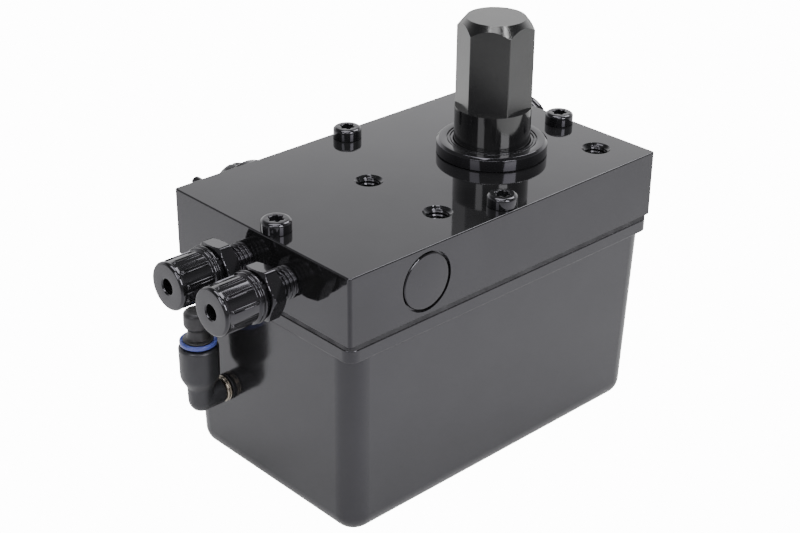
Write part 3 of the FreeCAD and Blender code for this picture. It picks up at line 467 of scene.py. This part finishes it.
def tap_thread(side, x, y, depth, chamfer):
    """Liner with the thread's ridges, carried up through the countersunk mouth."""
    first = TAP_BOTTOM_GAP - depth
    total = int((TAP_TOP - first) / TAP_PITCH * TAP_STEPS)
    stations = [first + (TAP_TOP - first) * i / total for i in range(total + 1)]

    back = [TAP_TOP, -chamfer, first]

    def wall(along):
        return TAP_R + max(0.0, chamfer + along) - TAP_SKIN

    def skin(i, along, angle):
        if i == 0 or i > total + 1:
            return wall(along)
        step = i - 1
        fade = max(0.0, min(1.0, (total - step) / TAP_STEPS, step / TAP_STEPS))
        root = wall(along) - TAP_SKIN
        return thread_radius(along, angle, TAP_PITCH, root, root - TAP_CREST, fade)

    bm = bmesh.new()
    ring_mesh(bm, frame_of(Vector((x, y, 0)), Z_AXIS), [first] + stations + back, TAP_SIDES, skin)
    name = "tap_thread_" + side
    add_object(name, finish_mesh(name, bm, 30.0), "housing", "block_black")


for side_name, tap in TAPS.items():
    tap_thread(side_name, *tap)


# ---------------------------------------------------------------- hose fittings and cap nuts
FIT_FACE_X = BLOCK_LOW.x
FIT_THREAD_PITCH = 2.0
FIT_THREAD_LEN = 10.2
FIT_THREAD_R = 7.0
FIT_THREAD_ROOT = 6.05
FIT_HEX_FLATS = 21.4
FIT_HEX_CORNER = math.radians(115.6)
FIT_HEX_START = 9.3
FIT_HEX_END = 16.4
FIT_HEX_TRIM = 12.1
FIT_HEX_FACE = 10.3
FIT_NECK_R = 8.8
FIT_NECK_END = 18.2
FIT_SPIGOT_R = 7.45
FIT_SPIGOT_END = 29.4
TUBE_SEAT_R = 3.25
TUBE_SEAT_AT = 21.5
FIT_BORE_R = 2.2
FIT_SIDES = 144
FIT_THREAD_STEPS = 16
FIT_THREAD_SUNK = 0.6
FIT_HEX_STEPS = 36
FIT_HEX_SLOPE = 1.75
FIT_HEX_TURN = math.pi - FIT_HEX_CORNER


def fitting(side):
    y = middle("cap_nut_" + side).y
    origin = Vector((FIT_FACE_X, y, PORT_Z))
    matrix = frame_of(origin, -X_AXIS)
    total = int(FIT_THREAD_LEN / FIT_THREAD_PITCH * FIT_THREAD_STEPS)
    stations = [-FIT_THREAD_SUNK + FIT_THREAD_LEN * i / total for i in range(total + 1)]

    def thread(i, along, angle):
        fade = min(1.0, (total - i) / FIT_THREAD_STEPS)
        return thread_radius(along, angle, FIT_THREAD_PITCH, FIT_THREAD_ROOT, FIT_THREAD_R, fade)

    bm = bmesh.new()
    ring_mesh(bm, matrix, stations, FIT_SIDES, thread, cap_start=True, cap_end=True)
    screw = "hose_thread_" + side
    add_object(screw, finish_mesh(screw, bm, 75.0), "housing", "black_plated", "fitting_body_" + side)
    length = FIT_HEX_END - FIT_HEX_START
    hex_stations = [FIT_HEX_START + length * i / FIT_HEX_STEPS for i in range(FIT_HEX_STEPS + 1)]

    def hexagon(i, along, angle):
        edge = min(along - FIT_HEX_START, FIT_HEX_END - along)
        limit = min(FIT_HEX_TRIM, FIT_HEX_FACE + edge * FIT_HEX_SLOPE)
        return min(limit, hex_radius(FIT_HEX_FLATS, angle, FIT_HEX_TURN))

    bm = bmesh.new()
    ring_mesh(bm, matrix, hex_stations, FIT_SIDES, hexagon, cap_start=True, cap_end=True, offset=FIT_HEX_TURN)
    rear = [
        (FIT_HEX_END - 0.2, AXIS_R), (FIT_HEX_END - 0.2, FIT_NECK_R, 0), (FIT_NECK_END, FIT_NECK_R),
        (FIT_NECK_END, FIT_SPIGOT_R, 0), (FIT_SPIGOT_END, FIT_SPIGOT_R), (FIT_SPIGOT_END, TUBE_SEAT_R, 0),
        (TUBE_SEAT_AT, TUBE_SEAT_R, 0), (TUBE_SEAT_AT, FIT_BORE_R, 0), (FIT_HEX_END, FIT_BORE_R, 0),
        (FIT_HEX_END, AXIS_R),
    ]
    add_turned(bm, origin, -X_AXIS, rear, 72, 0.3)
    name = "hose_fitting_" + side
    add_object(name, finish_mesh(name, bm, 28.0), "housing", "black_plated", "fitting_body_" + side)


NUT_START = 18.35
NUT_RIM_START = 36.2
NUT_END = 38.5
NUT_FLANGE_R = 11.2
NUT_BARREL_R = 9.85
NUT_RIM_R = 10.4
NUT_FACE_R = 9.7
NUT_RIB_START = 22.4
NUT_RIB_END = 35.3
RIB_COUNT = 10
RIB_TURN = math.radians(14.0)
RIB_APART = math.radians(3.2)
RIB_HALF = math.radians(1.9)
RIB_HEIGHT = 0.52
RIB_RUN_OUT = 0.6
BEAD_AT = 34.6
BEAD_R = 0.65
BEAD_HEIGHT = 0.5
GRIP_COUNT = 480
NUT_BORE_R = 3.25
NUT_INNER_R = 7.6


def rib_height(along, angle):
    """Height of the paired grip ridges and the bead at the front end of each pair."""
    local = (angle - RIB_TURN) % (TAU / RIB_COUNT)
    local = min(local, TAU / RIB_COUNT - local)
    ends = min(along - NUT_RIB_START, NUT_RIB_END - along) / RIB_RUN_OUT
    ends = max(0.0, min(1.0, ends))
    across = (local - RIB_APART) / RIB_HALF
    ridge = RIB_HEIGHT * (0.5 + 0.5 * math.cos(math.pi * across)) if abs(across) < 1 else 0.0
    away = ((along - BEAD_AT) ** 2 + (local * NUT_BARREL_R) ** 2) / BEAD_R ** 2
    bead = BEAD_HEIGHT * math.sqrt(1 - away) if away < 1 else 0.0
    return max(ridge * ends, bead)


def cap_nut(side):
    y = middle("cap_nut_" + side).y
    origin = Vector((FIT_FACE_X, y, PORT_Z))

    def ribbed(along, r, angle):
        if along < NUT_RIB_START or along > NUT_RIB_END or r < NUT_BARREL_R - 0.3:
            return r
        return r + rib_height(along, angle)

    barrel_stations = [22.4, 22.7, 23.0, 33.8] + [33.95 + 0.15 * i for i in range(10)]
    outline = [
        (NUT_START, NUT_INNER_R), (NUT_START, NUT_FLANGE_R - 0.5), (NUT_START + 0.5, NUT_FLANGE_R),
        (NUT_START + 1.3, NUT_FLANGE_R), (NUT_START + 1.6, NUT_FLANGE_R - 0.7),
        (NUT_START + 2.0, NUT_FLANGE_R - 0.7), (NUT_START + 2.3, NUT_FLANGE_R - 0.2),
        (NUT_START + 3.1, NUT_FLANGE_R - 0.3), (NUT_START + 3.6, NUT_BARREL_R, 0.2),
        *[(along, NUT_BARREL_R, 0) for along in barrel_stations], (NUT_RIM_START, NUT_BARREL_R, 0.1),
        (NUT_RIM_START + 0.25, NUT_RIM_R - 0.1, 0.1), (NUT_RIM_START + 0.9, NUT_RIM_R, 0.2),
        (NUT_END - 0.7, NUT_RIM_R - 0.1, 0.5), (NUT_END, NUT_FACE_R, 0.4), (NUT_END, NUT_BORE_R + 0.5, 0.2),
        (NUT_END - 0.5, NUT_BORE_R, 0.2), (34.0, NUT_BORE_R, 0), (30.4, NUT_INNER_R, 0),
        (NUT_START, NUT_INNER_R),
    ]
    turned("cap_nut_detail_" + side, origin, -X_AXIS, outline, "nut_" + side, "black_plated",
           "cap_nut_" + side, count=GRIP_COUNT, ease=0.2, shape=ribbed, sharp=50.0)


for side_name in ("front", "rear"):
    fitting(side_name)
    cap_nut(side_name)


# ---------------------------------------------------------------- plug, cap, flange and knob
def front_plug():
    low, high = box_mm("front_plug")
    centre = middle("front_plug")
    r = (high.x - low.x) / 2
    outline = [
        (0.0, AXIS_R), (0.0, r, 0), (high.y - low.y - 0.5, r), (high.y - low.y, r - 0.45),
        (high.y - low.y, AXIS_R),
    ]
    turned("front_plug_detail", Vector((centre.x, high.y, centre.z)), -Y_AXIS, outline, "housing",
           "block_black", "front_plug", count=128, ease=0.3)


CAP_R = 12.5
CAP_NECK_R = 10.2
CAP_NECK_END = 3.2
CAP_GROOVES = (5.6, 8.2, 10.8)
CAP_GROOVE_DEPTH = 0.7
SOCKET_R = 4.4
SOCKET_FLATS = 8.0
SOCKET_DEPTH = 5.0


def cylinder_cap():
    centre = middle("cylinder_cap")
    length = box_mm("cylinder_cap")[1].x - BLOCK_HIGH.x
    outline = [
        (0.0, AXIS_R), (0.0, CAP_NECK_R, 0), (CAP_NECK_END, CAP_NECK_R, 0.3), (CAP_NECK_END, CAP_R - 0.8),
        (CAP_NECK_END + 0.8, CAP_R, 0.2),
    ]
    floor_r = CAP_R - CAP_GROOVE_DEPTH
    for at in CAP_GROOVES:
        outline += [
            (at, CAP_R, 0.1), (at + 0.2, floor_r, 0.1),
            (at + 1.3, floor_r, 0.1), (at + 1.5, CAP_R, 0.1),
        ]
    outline += [
        (length - 2.0, CAP_R, 1.2), (length, CAP_R - 2.0, 1.0), (length, SOCKET_R + 0.5, 0.2),
        (length - 0.5, SOCKET_R, 0), (length - SOCKET_DEPTH, SOCKET_R, 0), (length - SOCKET_DEPTH, AXIS_R),
    ]

    def shaped(along, radius, angle):
        if abs(radius - SOCKET_R) < 0.02:
            return hex_radius(SOCKET_FLATS, angle)
        return radius

    turned("cylinder_cap_detail", Vector((BLOCK_HIGH.x, centre.y, centre.z)), X_AXIS, outline, "housing",
           "black_plated", "cylinder_cap", count=240, ease=0.3, shape=shaped)


FLANGE_R = 15.0
FLANGE_BORE_R = 5.03
SPIGOT_R = 8.9
SPIGOT_DEPTH = 2.0


def valve_flange():
    centre = middle("valve_flange")
    depth = box_mm("valve_flange")[1].y - BLOCK_HIGH.y
    outline = [
        (-SPIGOT_DEPTH, FLANGE_BORE_R, 0), (-SPIGOT_DEPTH, SPIGOT_R, 0),
        (0.0, SPIGOT_R, 0), (0.0, FLANGE_R, 0), (depth - 1.2, FLANGE_R, 0.5), (depth, FLANGE_R - 1.2, 0.5),
        (depth, 7.2, 0.2), (depth - 0.6, 6.6, 0.2), (depth - 0.6, FLANGE_BORE_R, 0.1),
        (-SPIGOT_DEPTH, FLANGE_BORE_R),
    ]
    turned("valve_flange_detail", Vector((centre.x, BLOCK_HIGH.y, centre.z)), Y_AXIS, outline, "housing",
           "black_plated", "valve_flange", count=128, ease=0.3)


KNOB_R = 11.0
KNOB_BORE_R = 5.0
KNOB_FLUTES = 12
FLUTE_DEPTH = 0.45
POINTER_START = 9.0
POINTER_LOW = 3.2
POINTER_HIGH = 9.2
POINTER_HALF_W = 3.5
POINTER_ROUND = 1.2


def valve_knob():
    low, high = box_mm("valve_knob")
    spool = middle("valve_spool")
    length = high.y - low.y
    r = KNOB_R

    def fluted(along, radius, angle):
        if radius < r - 1.4 or along < 1.4 or along > length - 1.2:
            return radius
        wave = max(0.0, math.cos(KNOB_FLUTES * angle)) ** 2
        return radius - FLUTE_DEPTH * wave

    outline = [
        (0.0, KNOB_BORE_R, 0), (0.0, r - 0.8, 0.4), (0.8, r, 0.4), (1.6, r, 0), (3.0, r, 0), (5.5, r, 0),
        (7.0, r - 0.2, 1.0), (length - 2.2, r - 1.0, 1.6), (length - 0.5, r - 3.0, 1.2),
        (length, r - 5.2, 0.6), (length, KNOB_BORE_R, 0), (0.0, KNOB_BORE_R),
    ]
    turned("valve_knob_detail", Vector((spool.x, low.y, spool.z)), Y_AXIS, outline, "valve",
           "elbow_black", "valve_knob", count=192, ease=0.3, shape=fluted)
    near = Vector((spool.x + POINTER_START, low.y + POINTER_LOW, spool.z - POINTER_HALF_W))
    far = Vector((high.x, low.y + POINTER_HIGH, spool.z + POINTER_HALF_W))
    pointer = rounded_bar("valve_pointer", near, far, POINTER_ROUND)
    add_object("valve_pointer", pointer, "valve", "elbow_black", "valve_knob")


def rounded_bar(name, low, high, r):
    """Mesh of a box between two corners (millimetres) with rounded edges."""
    bm = bmesh.new()
    bmesh.ops.create_cube(bm, size=1.0)
    size = high - low
    for v in bm.verts:
        v.co = Vector((
            (low.x + (v.co.x + 0.5) * size.x) * MM,
            (low.y + (v.co.y + 0.5) * size.y) * MM,
            (low.z + (v.co.z + 0.5) * size.z) * MM,
        ))
    bmesh.ops.bevel(bm, geom=bm.edges, offset=r * MM, segments=4, profile=0.5, affect="EDGES")
    return finish_mesh(name, bm, 50.0)


front_plug()
cylinder_cap()
valve_flange()
valve_knob()

# ---------------------------------------------------------------- push-in elbow
ELBOW = middle("release_collar")
ELBOW_AXIS_Z = middle("port_stud").z
LEG_R = 8.8
ARM_R = 5.8
ARM_END = 10.0
ARM_BORE_R = 4.03
TUBE_BORE_R = 4.1


def elbow_body():
    top = box_mm("elbow_body")[1].z - ELBOW_AXIS_Z
    bm = bmesh.new()
    origin = Vector((ELBOW.x, ELBOW.y, ELBOW_AXIS_Z))
    leg = [
        (-ARM_R, AXIS_R, 0), (-ARM_R + 0.35, 2.0, 0), (-ARM_R + 1.4, 4.0, 0), (-3.0, 5.0, 0),
        (0.0, ARM_R, 1.0), (6.4, ARM_R + 0.1, 2.0), (8.4, 7.0, 1.6), (11.4, LEG_R - 0.15, 2.6),
        (top - 0.9, LEG_R, 0.4), (top, LEG_R - 0.7, 0.3), (top, 6.4, 0.2), (top - 0.5, 6.2, 0),
        (11.3, 6.2, 0), (11.3, TUBE_BORE_R, 0), (7.8, TUBE_BORE_R, 0), (7.8, 2.4, 0),
        (0.0, 2.4, 0), (0.0, AXIS_R),
    ]
    add_turned(bm, origin, Z_AXIS, leg, 96, 0.4)
    arm = [
        (-ARM_R, AXIS_R, 0), (-5.4, 2.2, 0), (-4.2, 4.0, 0), (-2.4, 5.3, 0), (0.0, ARM_R, 1.0),
        (ARM_END - 0.6, ARM_R, 0.3), (ARM_END, ARM_R - 0.5, 0.3), (ARM_END, ARM_BORE_R, 0),
        (3.2, ARM_BORE_R, 0), (3.2, AXIS_R),
    ]
    add_turned(bm, origin, X_AXIS, arm, 96, 0.4)
    add_object("elbow_body_detail", finish_mesh("elbow_body_detail", bm, 40.0), "elbow", "elbow_black",
               "elbow_body")


COLLAR_BORE_R = 4.15
COLLAR_SLEEVE_R = 5.4
COLLAR_RIM_R = 8.2


def release_collar():
    low, high = box_mm("release_collar")
    top = high.z - low.z
    outline = [
        (0.0, COLLAR_BORE_R, 0), (0.0, COLLAR_SLEEVE_R), (top - 2.1, COLLAR_SLEEVE_R, 0),
        (top - 2.1, 8.0, 0.3), (top - 1.2, COLLAR_RIM_R, 0.3), (top - 0.5, COLLAR_RIM_R, 0.3),
        (top, 7.6, 0.3), (top - 0.9, 5.6, 0.4), (top - 1.2, COLLAR_BORE_R, 0.2), (0.0, COLLAR_BORE_R),
    ]
    turned("release_collar_detail", Vector((ELBOW.x, ELBOW.y, low.z)), Z_AXIS, outline, "collar",
           "collar_blue", "release_collar", count=96, ease=0.3)


PLUG_SHANK_R = 4.0
PLUG_SHOULDER_AT = 21.3
PLUG_SHOULDER_R = 6.7
PLUG_HEAD_R = 5.9


def blanking_plug():
    low, high = box_mm("blanking_plug")
    top = high.z - low.z
    outline = [
        (0.0, AXIS_R), (0.0, 3.2), (1.0, PLUG_SHANK_R, 0.4), (PLUG_SHOULDER_AT, PLUG_SHANK_R, 0.2),
        (PLUG_SHOULDER_AT, PLUG_SHOULDER_R, 0.2), (22.0, 6.6, 0.3), (22.4, 4.7, 0.4), (26.6, 4.35, 0.8),
        (28.0, 5.6, 0.8), (29.0, PLUG_HEAD_R, 0.6), (top - 1.2, PLUG_HEAD_R, 0.8), (top, 4.6, 0.8),
        (top - 0.3, 2.0, 0.3), (top - 0.3, AXIS_R),
    ]
    turned("blanking_plug_detail", Vector((ELBOW.x, ELBOW.y, low.z)), Z_AXIS, outline, "plug",
           "plug_grey", "blanking_plug", count=72, ease=0.4)


STUD_START = 1.4
STUD_COLLAR_R = 6.0
STUD_R = 4.0
STUD_BORE_R = 2.2
STUD_BACK = 8.0
STUD_FRONT = 9.8


def port_stud():
    centre = middle("port_stud")
    start = BLOCK_LOW.x + STUD_START
    outline = [
        (-STUD_BACK, STUD_BORE_R, 0), (-STUD_BACK, STUD_R), (0.0, STUD_R, 0), (0.0, 5.4, 0.2),
        (0.6, STUD_COLLAR_R, 0.2), (1.1, STUD_COLLAR_R, 0.1), (1.3, 5.6, 0.1), (1.6, 5.6, 0.1),
        (1.8, STUD_COLLAR_R, 0.1), (2.3, STUD_COLLAR_R, 0.2), (2.8, 5.4, 0.2), (2.8, STUD_R, 0),
        (STUD_FRONT, STUD_R), (STUD_FRONT, STUD_BORE_R, 0), (-STUD_BACK, STUD_BORE_R),
    ]
    turned("port_stud_detail", Vector((start, centre.y, centre.z)), -X_AXIS, outline, "housing",
           "nickel_brass", "port_stud", count=96, ease=0.2)


elbow_body()
release_collar()
blanking_plug()
port_stud()

# ---------------------------------------------------------------- paint every piece by its slot
record_slots = {entry["node"]: entry["material_slot"] for entry in frame["record"]["subparts"]}


def paint(obj, slot_name):
    obj.data.materials.clear()
    obj.data.materials.append(MATERIALS[slot_name])


for node_name, node in frame["nodes"].items():
    paint(node, record_slots[node_name])
frame["nodes"]["spindle"].data.materials[0] = spindle_black()
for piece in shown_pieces():
    if piece.name not in frame["nodes"]:
        paint(piece, piece["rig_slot"])
# Tapped-hole liners: a darker, less reflective copy of the gloss black as painted shade in the holes, with a
# duller satin finish
shaded_thread = gloss_black("shaded_thread", (0.0045, 0.0045, 0.0048), 0.13, 0.02, ior=1.45)
for side_name in TAPS:
    bpy.data.objects["tap_thread_" + side_name].data.materials[0] = shaded_thread
oiled_rubber = gloss_black("oiled_rubber", (0.0050, 0.0050, 0.0054), 0.07, 0.02, ior=1.53)
bpy.data.objects["wiper_seal_detail"].data.materials[0] = oiled_rubber

# ---------------------------------------------------------------- floor, light and camera
FLOOR_HALF = 12.0
FLOOR_GAP = 0.0002
# floor colour and painted glow, near the unit and far towards the viewer
FLOOR_TONE = 0.60
FLOOR_FAR_TONE = 0.15
FLOOR_GLOW = 0.65
FLOOR_FAR_GLOW = 0.3
FLOOR_FADE_START = 0.10
FLOOR_FADE_END = 0.60
FLOOR_SHOWN = 14.0
# painted shade on the floor's glow to the right and to the left of the unit
FLOOR_RIGHT_SHARE = 0.40
FLOOR_RIGHT_SPAN = (0.0, 0.36)
FLOOR_LEFT_SHARE = 0.78
FLOOR_LEFT_SPAN = (0.10, 0.24)
# painted contact shadow in the floor's glow: its share next to the unit and its reach in metres
FLOOR_PAINTED_SHADOW_SHARE = 0.50
FLOOR_PAINTED_SHADOW_REACH = 0.17
# how far towards the viewer the studio starts and stops dimming, to the viewer's share
SKY_SIDE_START = -0.65
SKY_SIDE_END = 0.15
BACKDROP_AZIMUTH = 46.7
VIEWER_AZIMUTH = math.radians(BACKDROP_AZIMUTH + 180)
VIEWER_SIDE = Vector((math.cos(VIEWER_AZIMUTH), math.sin(VIEWER_AZIMUTH), 0))
# brightness of the studio at each sine of the height above the horizon
SKY_STEPS = (
    (0.0, 1.75), (0.36, 1.70), (0.42, 1.30), (0.465, 1.22),
    (0.50, 0.95), (0.56, 0.48), (0.70, 0.22), (1.0, 0.18),
)
SKY_BRIGHTEST = 2.0
SKY_VIEWER_SHARE = 0.22


def floor():
    """A plain pale floor. Seen directly it is clean white. In mirror images and as a light it is a matt sheet
    with a painted glow and painted shade close around the unit, to both sides and towards the viewer."""
    bm = bmesh.new()
    bmesh.ops.create_grid(bm, x_segments=1, y_segments=1, size=FLOOR_HALF)
    z = TANK_BASE_Z * MM - FLOOR_GAP
    for v in bm.verts:
        v.co.z = z
    mesh = bpy.data.meshes.new("floor")
    bm.to_mesh(mesh)
    bm.free()
    obj = bpy.data.objects.new("floor", mesh)
    bpy.context.scene.collection.objects.link(obj)
    mat, tree, shader = new_material("floor_white")
    place = tree.nodes.new("ShaderNodeTexCoord").outputs["Object"]
    # painted shade: the floor's colour and glow dim towards the viewer and to both sides
    fade = remap(tree, directed(tree, place, VIEWER_SIDE), FLOOR_FADE_START, FLOOR_FADE_END, 0.0, 1.0)
    right = remap(tree, directed(tree, place, X_AXIS), *FLOOR_RIGHT_SPAN, 1.0, FLOOR_RIGHT_SHARE)
    left = remap(tree, directed(tree, place, -X_AXIS), *FLOOR_LEFT_SPAN, 1.0, FLOOR_LEFT_SHARE)
    painted_side_shade = times(tree, right, left)
    # painted contact shadow: the floor glows less close to the unit's front, left and back
    painted_contact_shadow = None
    for way, edge in ((-Y_AXIS, -BLOCK_LOW.y), (-X_AXIS, -BLOCK_LOW.x), (Y_AXIS, BLOCK_HIGH.y)):
        away = remap(tree, directed(tree, place, way), edge * MM, edge * MM + FLOOR_PAINTED_SHADOW_REACH,
                     FLOOR_PAINTED_SHADOW_SHARE, 1.0)
        painted_contact_shadow = greater(tree, painted_contact_shadow, away) if painted_contact_shadow else away
    near = (FLOOR_TONE,) * 3
    far = (FLOOR_FAR_TONE,) * 3
    tree.links.new(blend_colours(tree, fade, near, far), shader.inputs["Base Color"])
    shader.inputs["Roughness"].default_value = 0.9
    shader.inputs["Specular IOR Level"].default_value = 0.1
    # painted light: the floor's own glow, dimmed by the painted shade
    glow = blend_colours(tree, fade, (1.0, 1.0, 1.0), (FLOOR_FAR_GLOW,) * 3)
    tree.links.new(glow, shader.inputs["Emission Color"])
    strength = times(tree, times(tree, painted_side_shade, painted_contact_shadow), FLOOR_GLOW)
    tree.links.new(strength, shader.inputs["Emission Strength"])
    shown = tree.nodes.new("ShaderNodeEmission")
    shown.inputs["Color"].default_value = (1, 1, 1, 1)
    shown.inputs["Strength"].default_value = FLOOR_SHOWN
    path = tree.nodes.new("ShaderNodeLightPath")
    mix = tree.nodes.new("ShaderNodeMixShader")
    out = tree.nodes["Material Output"]
    tree.links.new(path.outputs["Is Camera Ray"], mix.inputs[0])
    tree.links.new(shader.outputs[0], mix.inputs[1])
    tree.links.new(shown.outputs[0], mix.inputs[2])
    tree.links.new(mix.outputs[0], out.inputs["Surface"])
    mesh.materials.append(mat)


def sky():
    """A studio with a pale backdrop behind the unit, dim overhead and on the viewer's side."""
    world = bpy.data.worlds.new("studio")
    bpy.context.scene.world = world
    world.use_nodes = True
    tree = world.node_tree
    background = tree.nodes["Background"]
    way = tree.nodes.new("ShaderNodeTexCoord").outputs["Generated"]
    height = directed(tree, way, Z_AXIS)
    ramp = tree.nodes.new("ShaderNodeValToRGB")
    elements = ramp.color_ramp.elements
    for place, level in SKY_STEPS:
        element = elements[0] if place == 0.0 else elements[-1] if place == 1.0 else elements.new(place)
        element.color = (level / SKY_BRIGHTEST,) * 3 + (1,)
    tree.links.new(height, ramp.inputs["Fac"])
    side = directed(tree, way, VIEWER_SIDE)
    share = remap(tree, side, SKY_SIDE_START, SKY_SIDE_END, 1.0, SKY_VIEWER_SHARE)
    level = times(tree, times(tree, ramp.outputs["Color"], share), SKY_BRIGHTEST)
    background.inputs["Color"].default_value = (1, 1, 1, 1)
    tree.links.new(level, background.inputs["Strength"])


def softbox(name, azimuth, elevation, distance, width, height, power):
    """A rectangular light in that direction from the block, facing it. Azimuth runs from +X towards +Y."""
    light = bpy.data.lights.new(name, "AREA")
    light.shape = "RECTANGLE"
    light.size = width
    light.size_y = height
    light.energy = power
    obj = bpy.data.objects.new(name, light)
    bpy.context.scene.collection.objects.link(obj)
    a = math.radians(azimuth)
    e = math.radians(elevation)
    direction = Vector((math.cos(a) * math.cos(e), math.sin(a) * math.cos(e), math.sin(e)))
    obj.location = direction * distance
    obj.rotation_euler = (-direction).to_track_quat("-Z", "Y").to_euler()
    obj.visible_camera = False


CAMERA_AZIMUTH = -43.327
CAMERA_ELEVATION = 27.471
CAMERA_ROLL = 0.538
CAMERA_DISTANCE = 0.7090
CAMERA_RIGHT = -0.00933
CAMERA_UP = -0.04265
CAMERA_LENS = 72.70
SENSOR_WIDTH = 36.0


def camera():
    """Camera aimed past the block's top centre, moved right and up in its own picture plane."""
    a = math.radians(CAMERA_AZIMUTH)
    e = math.radians(CAMERA_ELEVATION)
    roll = math.radians(CAMERA_ROLL)
    back = Vector((math.sin(a) * math.cos(e), -math.cos(a) * math.cos(e), math.sin(e)))
    right = Vector((math.cos(a), math.sin(a), 0))
    up = back.cross(right)
    right_r = right * math.cos(roll) + up * math.sin(roll)
    up_r = up * math.cos(roll) - right * math.sin(roll)
    data = bpy.data.cameras.new("camera")
    data.lens = CAMERA_LENS
    data.sensor_width = SENSOR_WIDTH
    data.sensor_fit = "HORIZONTAL"
    data.clip_start = 0.01
    data.clip_end = 100.0
    obj = bpy.data.objects.new("camera", data)
    bpy.context.scene.collection.objects.link(obj)
    place = right_r * CAMERA_RIGHT + up_r * CAMERA_UP + back * CAMERA_DISTANCE
    obj.matrix_world = Matrix((
        (right_r.x, up_r.x, back.x, place.x),
        (right_r.y, up_r.y, back.y, place.y),
        (right_r.z, up_r.z, back.z, place.z),
        (0, 0, 0, 1),
    ))
    bpy.context.scene.camera = obj


# name: azimuth, elevation, distance, width, height, power
SOFTBOXES = {
    "key_light": (4, 50, 1.2, 0.60, 0.50, 7.5),
    "left_strip": (191, 30, 1.2, 0.40, 0.50, 4.6),
    "right_strip": (265, 30, 1.2, 0.50, 0.50, 12.0),
    "left_glint": (200, 56, 1.2, 0.14, 0.14, 1.6),
    "right_glint": (272, 56, 1.2, 0.16, 0.16, 2.0),
    "front_glint": (227, 62, 1.2, 0.36, 0.20, 1.8),
    "front_fill": (227, 40, 1.2, 0.60, 0.35, 2.4),
    "top_light": (90, 80, 1.6, 0.90, 0.90, 16.0),
}

floor()
sky()
for light_name, setting in SOFTBOXES.items():
    softbox(light_name, *setting)
camera()
